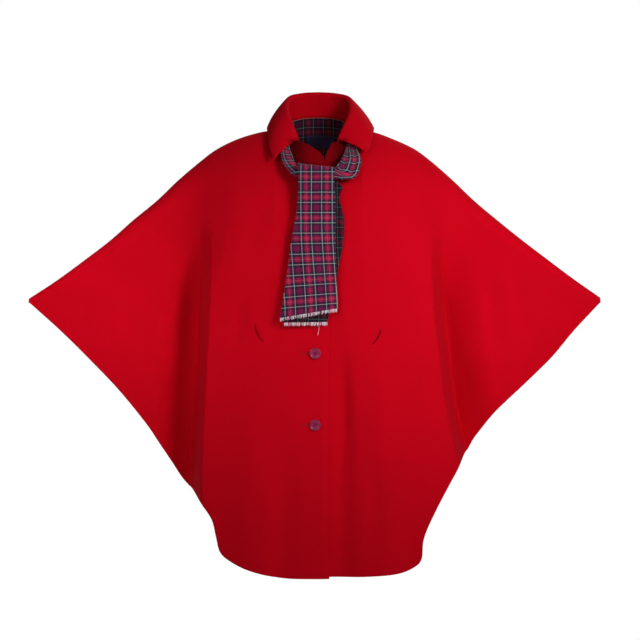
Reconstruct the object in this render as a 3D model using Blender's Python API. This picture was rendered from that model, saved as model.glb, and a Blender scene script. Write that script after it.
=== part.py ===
"""Wheelchair cape of red coat wool, filled out as if worn, with its own plaid neck scarf.

Blender 4.5, metres, +Z up. The wearer faces -Y, so +X is the wearer's left side. The origin is the middle
of the neck opening at the height of the shoulders, where the cape is carried.
Each cloth piece is a closed wall: an outer face worked out from the tables below, and an inner face one
cloth thickness behind it. Table rows are sections or folds, and the line above each table names its columns.
"""

import bpy
import numpy as np

# Cloth thicknesses and the gap between neighbouring pieces
COAT = 0.0025
COLLAR = 0.003
LINING = 0.001
LABEL = 0.0008
SCARF = 0.003
GAP = 0.0003
SEAM_GAP = 0.0002

# The neck opening: a ring that dips at the throat and stands a little higher at the nape
NECK_HALF_WIDTH = 0.078
THROAT_DEPTH = 0.075
THROAT_DROP = 0.065
NAPE_DEPTH = 0.062
NAPE_RISE = 0.027
NECK_EASE = 14.0

# The general figure that fills the cape: how far cloth stands from the shoulder line, and over what drop it
# gets there
CHEST_DEPTH = 0.128
HEM_FLARE = 0.012
FLARE_START = 0.30
FLARE_DROP = 0.50
BACK_DEPTH = 0.104
BODY_DROP = 0.200
BODY_SIDE = 0.210
SIDE_ROUNDING = 0.15

# The wings: the arm line sweeps forward, and the cloth rounds over it with a radius that shrinks to the tip
WING_START = 0.200
WING_TIP = 0.514
WING_SWEEP = 0.070
SWEEP_START = 0.120
ARM_RADIUS = 0.040
TIP_RADIUS = 0.011
VALLEY_DEPTH = 0.004
VALLEY_ROUNDING = 0.75

# Below the armpit the cloth over the body and that over the arm part. Above the valley they blend softly over a
# width; below its top the body's edge turns in over one width, and the valley's floor returns over another.
BLEND_START = 0.14
BLEND_WIDTH = 0.15
VALLEY_TOP = 0.15
VALLEY_GROWTH = 0.19
TURN_LEAD = 0.012
TURN_WIDTH = 0.026
RETURN_LEAD = 0.014
RETURN_WIDTH = 0.070

# Placket: the right front laps over the left
LAP = 0.020
UNDERLAP_STEP = 0.0038
UNDERLAP_EASE = 0.030

# Overarm seam of each side. Columns: distance from the middle, height
OVERARM = {
    "right": (
        (0.078, 0.000),
        (0.108, -0.005),
        (0.151, -0.019),
        (0.187, -0.038),
        (0.209, -0.055),
        (0.251, -0.091),
        (0.288, -0.127),
        (0.331, -0.163),
        (0.371, -0.199),
        (0.417, -0.235),
        (0.465, -0.271),
        (0.514, -0.304),
    ),
    "left": (
        (0.078, 0.000),
        (0.101, -0.004),
        (0.139, -0.018),
        (0.176, -0.036),
        (0.200, -0.054),
        (0.241, -0.090),
        (0.278, -0.126),
        (0.320, -0.162),
        (0.364, -0.198),
        (0.409, -0.233),
        (0.456, -0.269),
        (0.502, -0.302),
    ),
}

# Upright sections of each front, from its edge to the wing tip.
# Columns: distance from the middle at the top, the same at the hem, hem height, steps to the next section
FRONT_SECTIONS = {
    "right": (
        (-0.020, -0.020, -0.797, 1),
        (0.000, 0.000, -0.797, 2),
        (0.030, 0.040, -0.797, 2),
        (0.052, 0.079, -0.793, 2),
        (0.068, 0.123, -0.782, 3),
        (0.078, 0.156, -0.766, 1),
        (0.100, 0.173, -0.750, 1),
        (0.130, 0.180, -0.724, 1),
        (0.159, 0.188, -0.693, 2),
        (0.185, 0.208, -0.664, 2),
        (0.197, 0.222, -0.648, 2),
        (0.207, 0.232, -0.637, 2),
        (0.219, 0.244, -0.622, 2),
        (0.237, 0.260, -0.596, 1),
        (0.263, 0.282, -0.562, 1),
        (0.293, 0.308, -0.524, 2),
        (0.350, 0.355, -0.466, 2),
        (0.404, 0.405, -0.413, 2),
        (0.457, 0.458, -0.360, 2),
        (0.514, 0.514, -0.309, 0),
    ),
    "left": (
        (-0.020, -0.020, -0.792, 1),
        (0.000, 0.000, -0.793, 2),
        (0.030, 0.043, -0.794, 2),
        (0.052, 0.086, -0.793, 2),
        (0.068, 0.142, -0.788, 3),
        (0.078, 0.170, -0.777, 1),
        (0.100, 0.183, -0.762, 1),
        (0.130, 0.187, -0.727, 1),
        (0.158, 0.211, -0.673, 2),
        (0.187, 0.249, -0.603, 2),
        (0.199, 0.260, -0.585, 2),
        (0.209, 0.269, -0.571, 2),
        (0.222, 0.278, -0.554, 2),
        (0.242, 0.290, -0.537, 1),
        (0.269, 0.311, -0.510, 1),
        (0.300, 0.335, -0.486, 2),
        (0.350, 0.371, -0.452, 2),
        (0.404, 0.417, -0.406, 2),
        (0.450, 0.455, -0.360, 2),
        (0.502, 0.502, -0.309, 0),
    ),
}

# Upright sections of the back, from the middle to the wing tip; it is cut short, clear of the seat.
# Columns: share of the wing reach at the top, the same at the hem, hem height, grid steps to the next section
BACK_SECTIONS = (
    (0.000, 0.000, -0.600, 6),
    (0.078, 0.095, -0.598, 1),
    (0.105, 0.135, -0.592, 1),
    (0.135, 0.165, -0.582, 1),
    (0.162, 0.183, -0.573, 1),
    (0.188, 0.198, -0.564, 2),
    (0.200, 0.210, -0.555, 2),
    (0.210, 0.220, -0.548, 2),
    (0.223, 0.232, -0.538, 2),
    (0.241, 0.250, -0.521, 1),
    (0.267, 0.275, -0.498, 1),
    (0.300, 0.306, -0.470, 2),
    (0.360, 0.362, -0.422, 2),
    (0.430, 0.430, -0.368, 2),
    (0.514, 0.514, -0.309, 0),
)

# Where the cloth over the body turns back towards the arm. Columns: height, distance from the middle
BODY_EDGE = {
    "right": (
        (-0.620, 0.216),
        (-0.560, 0.214),
        (-0.440, 0.208),
        (-0.300, 0.201),
        (-0.150, 0.196),
    ),
    "left": (
        (-0.620, 0.262),
        (-0.560, 0.250),
        (-0.480, 0.234),
        (-0.380, 0.221),
        (-0.300, 0.213),
        (-0.150, 0.207),
    ),
    "back": ((-0.600, 0.212), (-0.440, 0.207), (-0.300, 0.202), (-0.150, 0.197)),
}
# A section leaves its place at the top slowly and reaches its place at the hem fast, as those edges do
SECTION_CURVE = 1.8

# Soft folds in the fronts. Columns: x and z where the fold starts, x and z where it ends, half-width at each
# end, depth (above 0 for a trough, below for a ridge), and 1 where it fades before the hem, else 0
FRONT_FOLDS = (
    (0.052, -0.390, 0.078, -0.810, 0.011, 0.026, 0.011, 0),
    (0.112, -0.360, 0.125, -0.810, 0.030, 0.036, -0.009, 0),
    (0.160, -0.480, 0.158, -0.800, 0.020, 0.020, 0.005, 0),
    (-0.055, -0.560, -0.062, -0.820, 0.018, 0.028, 0.006, 0),
    (-0.115, -0.420, -0.120, -0.810, 0.030, 0.032, -0.006, 0),
    (-0.130, -0.300, -0.152, -0.400, 0.010, 0.012, 0.004, 1),
    (-0.272, -0.290, -0.300, -0.430, 0.012, 0.016, 0.006, 1),
    (-0.248, -0.230, -0.262, -0.480, 0.014, 0.020, -0.008, 1),
    (0.300, -0.240, 0.320, -0.430, 0.018, 0.022, 0.005, 1),
    (-0.030, -0.150, -0.045, -0.330, 0.018, 0.020, 0.004, 1),
)

# Soft folds in the back, with the same columns
BACK_FOLDS = (
    (0.045, -0.180, 0.060, -0.610, 0.014, 0.028, 0.010, 0),
    (-0.040, -0.210, -0.052, -0.610, 0.014, 0.026, 0.010, 0),
    (0.125, -0.230, 0.138, -0.600, 0.020, 0.030, 0.009, 0),
    (-0.128, -0.200, -0.140, -0.600, 0.020, 0.030, 0.009, 0),
    (0.290, -0.230, 0.300, -0.480, 0.018, 0.024, 0.006, 0),
    (-0.296, -0.240, -0.306, -0.480, 0.018, 0.024, 0.006, 0),
)

# Collar, from the front of its roll to the nape.
# Columns: angle round the neck from the throat, middle of the roll (x, y, z), outer edge (x, y, z)
COLLAR_STATIONS = (
    (31, 0.037, -0.060, -0.026, 0.079, -0.090, -0.056),
    (50, 0.047, -0.044, 0.001, 0.090, -0.066, -0.037),
    (75, 0.055, -0.017, 0.027, 0.096, -0.035, -0.013),
    (100, 0.056, 0.010, 0.045, 0.099, 0.006, 0.003),
    (125, 0.050, 0.034, 0.058, 0.090, 0.046, 0.003),
    (150, 0.029, 0.050, 0.064, 0.057, 0.078, 0.001),
    (180, 0.000, 0.054, 0.066, 0.000, 0.086, 0.000),
)
ROLL_RADIUS = 0.0045
FALL_BULGE = 0.007
COLLAR_LIFT = 0.0016
COLLAR_STATION_COUNT = 35
# How each half differs. Columns: how far the roll moves out at the side, the same for the outer edge, and how
# far the point moves (x, y, z)
COLLAR_HALVES = {
    "right": (0.000, -0.008, (0.000, 0.000, 0.000)),
    "left": (0.004, 0.001, (0.005, 0.004, 0.012)),
}

# Front ends of the collar stand: rounded strips on the neck ring, from the collar's roll to the closing.
# Columns: angle round the neck, height of the top edge above the ring
STAND_ENDS = {
    "right": (
        (-8.0, 0.007),
        (-6.0, 0.014),
        (-1.0, 0.022),
        (5.0, 0.027),
        (11.0, 0.032),
        (16.0, 0.034),
        (21.0, 0.035),
    ),
    "left": (
        (9.0, 0.008),
        (10.5, 0.015),
        (13.0, 0.022),
        (16.0, 0.029),
        (17.0, 0.033),
        (19.0, 0.034),
        (21.5, 0.035),
    ),
}
STAND_LEAN = 0.30
STAND_GAP = 0.0008

# Scarf round the neck: inside the collar up to a station of it, then down to the knot.
# Columns: middle (x, y, z), then the vector to its upper edge
SCARF_INSIDE_COLLAR = 4
SCARF_SPREAD = 1.45
SCARF_PLACE = 0.340
SCARF_DROP = {
    "right": (
        (-0.0590, -0.0650, -0.0375, 0.0070, 0.0095, 0.0055),
        (-0.0545, -0.0835, -0.0555, 0.0085, 0.0085, 0.0045),
        (-0.0475, -0.1010, -0.0690, 0.0070, 0.0065, 0.0055),
        (-0.0420, -0.1125, -0.0780, 0.0030, 0.0020, 0.0070),
        (-0.0350, -0.1145, -0.0810, 0.0010, 0.0000, 0.0075),
        (-0.0180, -0.1150, -0.0825, 0.0000, 0.0000, 0.0080),
        (-0.0020, -0.1155, -0.0835, 0.0000, 0.0000, 0.0080),
    ),
    "left": (
        (0.0610, -0.0660, -0.0370, -0.0100, 0.0070, 0.0050),
        (0.0615, -0.0850, -0.0500, -0.0140, 0.0060, 0.0040),
        (0.0580, -0.0990, -0.0650, -0.0165, 0.0040, 0.0055),
        (0.0510, -0.1090, -0.0790, -0.0165, 0.0020, 0.0090),
        (0.0400, -0.1140, -0.0835, -0.0080, 0.0000, 0.0100),
        (0.0180, -0.1150, -0.0825, 0.0000, 0.0000, 0.0080),
        (0.0020, -0.1155, -0.0835, 0.0000, 0.0000, 0.0080),
    ),
}

# Hanging end of the scarf in front, from the fold over the knot down. Columns: depth, height, left x, right x
TAIL_FRONT = (
    (-0.1055, -0.0850, -0.035, 0.029),
    (-0.1070, -0.0750, -0.036, 0.030),
    (-0.1130, -0.0700, -0.036, 0.031),
    (-0.1205, -0.0730, -0.036, 0.030),
    (-0.1260, -0.0900, -0.034, 0.028),
    (-0.1330, -0.1375, -0.036, 0.030),
    (-0.1385, -0.1740, -0.042, 0.030),
    (-0.1420, -0.2090, -0.048, 0.030),
    (-0.1440, -0.2490, -0.053, 0.031),
    (-0.1450, -0.2880, -0.059, 0.032),
    (-0.1455, -0.3300, -0.067, 0.034),
)
# How far the right edge stands above the left one, at the fold and at the foot
TAIL_FRONT_SLANT = (-0.0060, 0.0170)

# The other hanging end, behind it
TAIL_REAR = (
    (-0.1055, -0.0861, -0.025, 0.028),
    (-0.1060, -0.1020, -0.028, 0.043),
    (-0.1130, -0.1210, -0.028, 0.037),
    (-0.1190, -0.1430, -0.029, 0.042),
    (-0.1245, -0.1670, -0.030, 0.046),
    (-0.1310, -0.2050, -0.034, 0.044),
    (-0.1365, -0.2450, -0.040, 0.036),
    (-0.1385, -0.2850, -0.048, 0.029),
    (-0.1390, -0.3460, -0.060, 0.016),
)
TAIL_REAR_SLANT = (-0.0050, 0.0010)
# The rows of a tail over which the slant at its fold goes, counted from its start
FOLD_ROWS = 4.5

# Frayed ends of the scarf
FRINGE_LENGTH = 0.006
FRINGE_BACKING = 0.002
FRINGE_THICKNESS = 0.0016
FRINGE_LOCKS = 26
FRINGE_UNEVENNESS = 0.0008
LOCK_SHARE = 0.62

# Buttons on the placket: the two upper ones lie under the scarf
BUTTON_X = -0.005
BUTTON_HEIGHTS = (-0.401, -0.527, -0.275, -0.149)
BUTTON_RADIUS = 0.0100
BUTTON_RIM = 0.0016
BUTTON_THICKNESS = 0.0036
BUTTON_DISH = 0.0011
BUTTON_SEAT = 0.0006
HOLE_RADIUS = 0.0010
HOLE_SPACING = 0.0023

# Hand slits in the fronts, each with a narrow curved welt. Columns: x and z of the upper end, the same of the
# lower end
HAND_SLITS = {"right": (-0.1105, -0.350, -0.0965, -0.380), "left": (0.1105, -0.357, 0.0965, -0.385)}
WELT_WIDTH = 0.0050
WELT_THICKNESS = 0.0014
WELT_BOW = 0.003
WELT_SEAT = 0.0005

# Lining at the nape, and the blank label sewn on it
LINING_HALF_WIDTH = 0.074
LINING_ROWS = 5
LABEL_LEFT = -0.021
LABEL_RIGHT = 0.029
LABEL_FIRST_ROW = 1.9
LABEL_LAST_ROW = 2.7

# Finishes. Columns: red, green, blue, roughness
FINISHES = {
    "coat_wool": (0.60, 0.004, 0.018, 0.90),
    "plaid_wool": (0.34, 0.030, 0.090, 0.88),
    "plaid_lining": (0.16, 0.020, 0.040, 0.80),
    "fringe_wool": (0.80, 0.45, 0.52, 0.90),
    "button_plastic": (0.28, 0.006, 0.060, 0.25),
    "label_tape": (0.020, 0.022, 0.055, 0.70),
}


def ease(share):
    """0 below 0, 1 above 1, and a smooth step between them."""
    share = np.clip(share, 0.0, 1.0)
    return share * share * (3.0 - 2.0 * share)


def through(at, knots, values):
    """A smooth curve through the values at the knots, in cubic pieces.

    The knots rise, and the slopes are limited so that the curve never overshoots.
    """
    knots = np.asarray(knots, float)
    values = np.asarray(values, float)
    chords = np.diff(values) / np.diff(knots)
    slopes = np.concatenate([chords[:1], (chords[:-1] + chords[1:]) / 2, chords[-1:]])
    before = np.concatenate([chords[:1], chords])
    after = np.concatenate([chords, chords[-1:]])
    turns = before * after <= 0
    limit = 3 * np.minimum(np.abs(before), np.abs(after))
    slopes = np.where(turns, 0.0, np.sign(slopes) * np.minimum(np.abs(slopes), limit))
    at = np.clip(at, knots[0], knots[-1])
    low = np.clip(np.searchsorted(knots, at) - 1, 0, len(knots) - 2)
    width = knots[low + 1] - knots[low]
    share = (at - knots[low]) / width
    bend = ease(share)
    start_slope = share * (1 - share) ** 2 * width * slopes[low]
    end_slope = share * share * (share - 1) * width * slopes[low + 1]
    return values[low] * (1 - bend) + values[low + 1] * bend + start_slope + end_slope


def columns_of(table):
    """The columns of a table as arrays."""
    return np.array(table, float).T


def neck_ring(angle):
    """Point of the neck opening at an angle from the throat. It dips in front and rises behind."""
    across = NECK_HALF_WIDTH * np.sin(angle)
    forward = np.cos(angle)
    depth = np.where(forward > 0, -THROAT_DEPTH, -NAPE_DEPTH) * forward
    height = np.where(forward > 0, -THROAT_DROP * forward, NAPE_RISE * (1 - np.abs(np.sin(angle)) ** 3))
    return np.stack([across, depth, height], axis=-1)


def overarm_height(side, reach):
    """Height of the overarm seam at a distance from the middle."""
    knots, heights = columns_of(OVERARM[side])
    return through(reach, knots, heights)


def seam_depth(reach):
    """How far forward the overarm seam lies: it sweeps with the arm towards the wing tip."""
    return -WING_SWEEP * np.clip((reach - SWEEP_START) / (WING_TIP - SWEEP_START), 0, 1) ** 1.5


def rounded(share, fullness):
    """0 at the shoulder, 1 at full depth: a superellipse, rounder at the shoulder as the fullness rises."""
    return (1 - (1 - np.clip(share, 0, 1)) ** 2) ** (1 / fullness)


def wing_radius(reach):
    """Radius with which the cloth rounds over the arm."""
    share = np.clip((reach - WING_START) / (WING_TIP - WING_START), 0, 1)
    return ARM_RADIUS + (TIP_RADIUS - ARM_RADIUS) * share


def fold_depth(folds, across, height):
    """Sum of soft folds: each is a bell curve across a slanting line that widens towards its foot."""
    total = np.zeros_like(across)
    for x_top, z_top, x_foot, z_foot, width_top, width_foot, depth, fades in folds:
        share = (z_top - height) / (z_top - z_foot)
        held = np.clip(share, 0, 1)
        middle = x_top + (x_foot - x_top) * held
        width = width_top + (width_foot - width_top) * held
        strength = ease(share / 0.35) * np.where(fades, ease((1 - share) / 0.35), 1.0)
        total = total + depth * strength * np.exp(-(((across - middle) / width) ** 2))
    return total


def softened(value, softness):
    """The value where it is above 0 and 0 below, with the corner rounded off as the softness rises."""
    return (value + np.sqrt(value * value + softness * softness)) / 2


def body_and_wing(side, across, height, start_y, start_z, full_depth, facing):
    """Depth of a panel's outer face. facing is -1 on the front and 1 on the back.

    Over the body the cloth leaves the shoulder or neck ring and rounds out to its full depth. Over the arm it
    rounds over the seam and hangs straight. Between the two it turns back into an upright valley, which
    starts under the armpit and is sharp on the body's side and soft on the wing's.
    """
    reach = np.abs(across)
    drop = np.maximum(start_z - height, 0)
    fullness = 1 + 0.4 * ease(reach / NECK_HALF_WIDTH)
    body = start_y + (facing * full_depth - start_y) * rounded(drop / BODY_DROP, fullness)
    radius = wing_radius(reach)
    wing = seam_depth(reach) + facing * radius * rounded(drop / radius, 2.0)
    soft = body + (wing - body) * ease((reach - BLEND_START) / BLEND_WIDTH)
    heights, distances = columns_of(BODY_EDGE[side])
    edge = through(height, heights, distances)
    turned_in = ease((reach - edge + TURN_LEAD) / TURN_WIDTH)
    spread = ease((reach - edge - RETURN_LEAD) / RETURN_WIDTH)
    floor = wing - facing * (radius * VALLEY_ROUNDING + VALLEY_DEPTH) * (1 - spread)
    folded = body + (floor - body) * turned_in
    return soft + (folded - soft) * ease((-height - VALLEY_TOP) / VALLEY_GROWTH)


def front_depth(side, across, height):
    """Depth of the fronts' outer face at a place seen from the front."""
    reach = np.abs(across)
    inside = 1 - (reach / NECK_HALF_WIDTH) ** 2
    top = overarm_height(side, reach) - THROAT_DROP * np.sqrt(np.maximum(inside, 0))
    ring = np.sqrt(softened(inside, NECK_EASE * np.maximum(top - height, 0)))
    start_y = seam_depth(reach) - THROAT_DEPTH * ring
    start_z = overarm_height(side, reach) - THROAT_DROP * ring
    flare = HEM_FLARE * ease((-height - FLARE_START) / FLARE_DROP)
    full = (CHEST_DEPTH + flare) * (1 - SIDE_ROUNDING * (reach / BODY_SIDE) ** 2)
    depth = body_and_wing(side, across, height, start_y, start_z, full, -1.0)
    return depth + fold_depth(FRONT_FOLDS, across, height)


def back_depth(side, across, height):
    """Depth of the back's outer face at a place seen from behind."""
    reach = np.abs(across)
    rise = 1 - (reach / NECK_HALF_WIDTH) ** 3
    drop = np.maximum(overarm_height(side, reach) + NAPE_RISE * np.maximum(rise, 0) - height, 0)
    ring = np.sqrt(softened(1 - (reach / NECK_HALF_WIDTH) ** 2, NECK_EASE * drop))
    start_y = seam_depth(reach) + NAPE_DEPTH * ring
    start_z = overarm_height(side, reach) + NAPE_RISE * softened(rise, NECK_EASE * drop)
    full = BACK_DEPTH * (1 - SIDE_ROUNDING * (reach / BODY_SIDE) ** 2)
    depth = body_and_wing("back", across, height, start_y, start_z, full, 1.0)
    return depth - fold_depth(BACK_FOLDS, across, height)


def stepped(sections):
    """The sections of a table with the grid steps that its last column asks for, without that column.

    Within the neck's width the steps are even in angle round the neck opening, not in distance across it.
    """
    rows = columns_of(sections)
    steps = rows[-1][:-1].astype(int)
    at = np.concatenate([k + np.arange(n) / n for k, n in enumerate(steps)] + [[len(steps)]])
    knots = np.arange(len(sections))
    inside = np.clip(rows[0] / NECK_HALF_WIDTH, -1, 1)
    turn = through(at, knots, np.arcsin(inside) + rows[0] / NECK_HALF_WIDTH - inside)
    beyond = np.maximum(turn - np.pi / 2, 0)
    top = NECK_HALF_WIDTH * (np.sin(turn - beyond) + beyond)
    return [top] + [through(at, knots, column) for column in rows[1:-1]]


def down(rows, power=1.5):
    """Shares from the top edge to the hem, closer together where the cloth turns over the shoulder."""
    return np.linspace(0, 1, rows) ** power


def grid_normals(points):
    """Unit normals of a grid of points, from the differences along its two directions."""
    normals = np.cross(np.gradient(points, axis=0), np.gradient(points, axis=1))
    return normals / np.linalg.norm(normals, axis=-1, keepdims=True)


def grid_faces(columns, rows):
    """The facets of a grid of points, as corner numbers. Each cell is cut along the same diagonal."""
    number = np.arange(columns * rows).reshape(columns, rows)
    first, second, third, fourth = number[:-1, :-1], number[1:, :-1], number[1:, 1:], number[:-1, 1:]
    halves = (np.stack([first, second, third], axis=-1), np.stack([first, third, fourth], axis=-1))
    return np.concatenate([half.reshape(-1, 3) for half in halves])


def finish_of(name):
    """The material of that name, made the first time it is asked for."""
    material = bpy.data.materials.get(name)
    if material:
        return material
    red, green, blue, roughness = FINISHES[name]
    material = bpy.data.materials.new(name)
    material.use_nodes = True
    shader = material.node_tree.nodes["Principled BSDF"]
    shader.inputs["Base Color"].default_value = (red, green, blue, 1.0)
    shader.inputs["Roughness"].default_value = roughness
    shader.inputs["Metallic"].default_value = 0.0
    return material


def place(name, mesh, finish):
    """Links a mesh into the scene as the object of that name."""
    mesh.materials.append(finish_of(finish))
    mesh.shade_smooth()
    mesh.set_sharp_from_angle(angle=np.radians(50))
    made = bpy.data.objects.new(name, mesh)
    bpy.context.scene.collection.objects.link(made)
    return made


def wall(name, outer, inner, faces, finish):
    """A closed wall between two copies of the same faces, with a rim along every edge of only one face.

    The outer copy's faces look out, so the inner copy's are turned round.
    """
    outer = outer.reshape(-1, 3)
    inner = inner.reshape(-1, 3)
    count = len(outer)
    starts = faces.ravel()
    ends = np.roll(faces, -1, axis=1).ravel()
    used = set(zip(starts.tolist(), ends.tolist()))
    rim = [(b, a, a + count, b + count) for a, b in used if (b, a) not in used]
    both = faces.tolist() + (faces[:, ::-1] + count).tolist() + sorted(rim)
    mesh = bpy.data.meshes.new(name)
    mesh.from_pydata(np.concatenate([outer, inner]).tolist(), [], both)
    mesh.validate()
    return place(name, mesh, finish)


def cloth(name, outer, normals, thickness, finish):
    """A wall of even thickness behind a grid's outer face."""
    return wall(name, outer, outer - normals * thickness, grid_faces(*outer.shape[:2]), finish)


def seamed_normals(points, seam):
    """Unit normals of a panel. At its overarm seam they lie in the seam's upright plane, square to it."""
    normals = grid_normals(points)
    for part in (seam & (points[:, 0, 0] < 0), seam & (points[:, 0, 0] > 0)):
        if part.any():
            along = np.gradient(points[part, 0], axis=0)
            along /= np.linalg.norm(along, axis=1, keepdims=True)
            upright = np.array([0.0, 0.0, 1.0]) - along * along[:, 2:]
            normals[part, 0] = upright / np.linalg.norm(upright, axis=1, keepdims=True)
    return normals


def front_grid(side, rows=17):
    """Outer face of one front as a grid of upright sections, with its normals. Its columns run towards -X."""
    sign = -1.0 if side == "right" else 1.0
    top_x, hem_x, hem_z = stepped(FRONT_SECTIONS[side])
    reach = np.abs(top_x)
    ring = np.sqrt(1 - np.clip(reach / NECK_HALF_WIDTH, 0, 1) ** 2)
    top_z = np.where(reach < NECK_HALF_WIDTH, -THROAT_DROP * ring, overarm_height(side, reach))
    share = down(rows)
    across = sign * (top_x[:, None] + (hem_x - top_x)[:, None] * share**SECTION_CURVE)
    height = top_z[:, None] + (hem_z - top_z)[:, None] * share
    depth = front_depth(side, across, height)
    if side == "left":
        depth = depth + UNDERLAP_STEP * (1 - ease((across - LAP) / UNDERLAP_EASE))
    seam = reach >= NECK_HALF_WIDTH - 1e-6
    depth = depth - np.where(seam[:, None] & (share == 0), SEAM_GAP, 0)
    points = np.stack([across, depth, height], axis=-1)
    if side == "left":
        points, seam = points[::-1], seam[::-1]
    return points, seamed_normals(points, seam)


def make_front(side):
    """One front panel, from the placket to the overarm seam and the wing tip."""
    points, normals = front_grid(side)
    cloth(side + "_front", points, normals, COAT, "coat_wool")


def back_grid(rows=15):
    """Outer face of the back as upright sections from the right wing tip to the left, with its normals."""
    halves = []
    for side, sign in (("right", -1.0), ("left", 1.0)):
        top_x, hem_x, hem_z = stepped(BACK_SECTIONS)
        tip = OVERARM[side][-1][0]
        stretch = 1 + (tip / WING_TIP - 1) * ease(top_x / WING_TIP)
        reach = top_x * stretch
        inside = np.clip(reach / NECK_HALF_WIDTH, 0, 1)
        top_z = np.where(reach < NECK_HALF_WIDTH, NAPE_RISE * (1 - inside**3), overarm_height(side, reach))
        share = down(rows)
        across = sign * (reach[:, None] + (hem_x * stretch - reach)[:, None] * share**SECTION_CURVE)
        height = top_z[:, None] + (hem_z - top_z)[:, None] * share
        depth = back_depth(side, across, height)
        seam = reach >= NECK_HALF_WIDTH - 1e-6
        depth = depth + np.where(seam[:, None] & (share == 0), SEAM_GAP, 0)
        halves.append((np.stack([across, depth, height], axis=-1), seam))
    (right, right_seam), (left, left_seam) = halves
    points = np.concatenate([right[::-1], left[1:]])
    return points, seamed_normals(points, np.concatenate([right_seam[::-1], left_seam[1:]]))


def on_cloth(grid, across, height):
    """Depth of a panel's own facets at places seen from the front."""
    corners = grid.reshape(-1, 3)[grid_faces(*grid.shape[:2])]
    origin = corners[:, 0]
    first = corners[:, 1] - origin
    second = corners[:, 2] - origin
    area = first[:, 0] * second[:, 2] - first[:, 2] * second[:, 0]
    x = np.ravel(across)[:, None] - origin[:, 0]
    z = np.ravel(height)[:, None] - origin[:, 2]
    along_first = (x * second[:, 2] - z * second[:, 0]) / area
    along_second = (z * first[:, 0] - x * first[:, 2]) / area
    inside = np.minimum(np.minimum(along_first, along_second), 1 - along_first - along_second)
    found = np.argmax(inside, axis=1)
    row = np.arange(len(found))
    depth = origin[:, 1] + along_first * first[:, 1] + along_second * second[:, 1]
    return depth[row, found].reshape(np.shape(across))


def make_back():
    """The back panel, one piece from wing tip to wing tip."""
    points, normals = back_grid()
    cloth("back", points, normals, COAT, "coat_wool")


def make_patch(name, points, normals, across, rows, inward, thickness, finish):
    """A patch inside the back: the back's own grid at given distances across and given rows, moved in."""
    columns = np.interp(across, points[:, 0, 0], np.arange(len(points)))
    both = np.concatenate([points, normals], axis=-1)
    low = columns.astype(int)
    share = (columns - low)[:, None, None]
    picked = both[low] * (1 - share) + both[low + 1] * share
    low = rows.astype(int)
    share = (rows - low)[None, :, None]
    picked = picked[:, low] * (1 - share) + picked[:, low + 1] * share
    near = picked[..., :3] - picked[..., 3:] * inward
    far = near - picked[..., 3:] * thickness
    wall(name, far, near, grid_faces(len(across), len(rows))[:, ::-1], finish)


def make_nape():
    """The plaid lining inside the nape, and the blank label on it."""
    points, normals = back_grid()
    across = points[np.abs(points[:, 0, 0]) < LINING_HALF_WIDTH, 0, 0]
    rows = np.concatenate([[0.12], np.arange(1, LINING_ROWS + 1)])
    make_patch("nape_lining", points, normals, across, rows, COAT + 2 * GAP, LINING, "plaid_lining")
    across = np.linspace(LABEL_LEFT, LABEL_RIGHT, 7)
    rows = np.linspace(LABEL_FIRST_ROW, LABEL_LAST_ROW, 4)
    make_patch("label", points, normals, across, rows, COAT + LINING + 4 * GAP, LABEL, "label_tape")


def neck_edge(angle):
    """Point of the panels' own faceted neck edge at an angle from the throat, lifted by the collar's gap."""
    knots = []
    for sections in (FRONT_SECTIONS["right"], BACK_SECTIONS):
        across = stepped(sections)[0] / NECK_HALF_WIDTH
        knots.append(np.arcsin(np.minimum(across[(across >= 0) & (across < 1.001)], 1)))
    front, back = knots
    turns = np.concatenate([front, np.pi - back[-2::-1]])
    edge = np.stack([np.interp(angle, turns, column) for column in neck_ring(turns).T], axis=-1)
    lift = COLLAR_LIFT * (1 + np.sin(angle) ** 2)
    return edge + lift[:, None] * np.array([0.0, 0.0, 1.0])


def collar_grid():
    """Middle of the collar's wall at stations round the neck: up the stand, over the roll, down the fall."""
    table = columns_of(COLLAR_STATIONS)
    half = np.radians(through(np.linspace(0, 6, (COLLAR_STATION_COUNT + 1) // 2), np.arange(7), table[0]))
    roll = np.stack([through(half, np.radians(table[0]), column) for column in table[1:4]], axis=-1)
    edge = np.stack([through(half, np.radians(table[0]), column) for column in table[4:7]], axis=-1)
    foot = neck_edge(half)
    beside = (np.sin(half) ** 2)[:, None] * np.array([1.0, 0.0, 0.0])
    ahead = 1 - ease((half - half[0]) / np.radians(30))
    mirror = np.array([-1.0, 1.0, 1.0])
    halves = []
    for roll_out, edge_out, point in COLLAR_HALVES.values():
        own_edge = edge + beside * edge_out + ahead[:, None] * np.array(point)
        halves.append((foot, roll + beside * roll_out, own_edge))
    pairs = zip(*halves)
    foot, roll, edge = (np.concatenate([right * mirror, left[-2::-1]]) for right, left in pairs)
    out = (edge - foot) * np.array([1.0, 1.0, 0.0])
    out /= np.linalg.norm(out, axis=1, keepdims=True)
    up = np.array([0.0, 0.0, 1.0])
    turn = np.radians([180, 140, 100, 60, 20])
    arc = roll[:, None] + ROLL_RADIUS * (
        np.cos(turn)[None, :, None] * out[:, None] + np.sin(turn)[None, :, None] * up
    )
    rise = np.array([0.0, 0.33, 0.67])[None, :, None]
    stand = foot[:, None] + (arc[:, :1] - foot[:, None]) * rise
    start = arc[:, -1:]
    fall_share = np.array([0.22, 0.44, 0.66, 0.86, 1.0])[None, :, None]
    bulge = FALL_BULGE * 4 * fall_share * (1 - fall_share) / 2
    fall = start + (edge[:, None] - start) * fall_share + out[:, None] * bulge + up * bulge * 0.6
    return np.concatenate([stand, arc, fall], axis=1)


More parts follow.
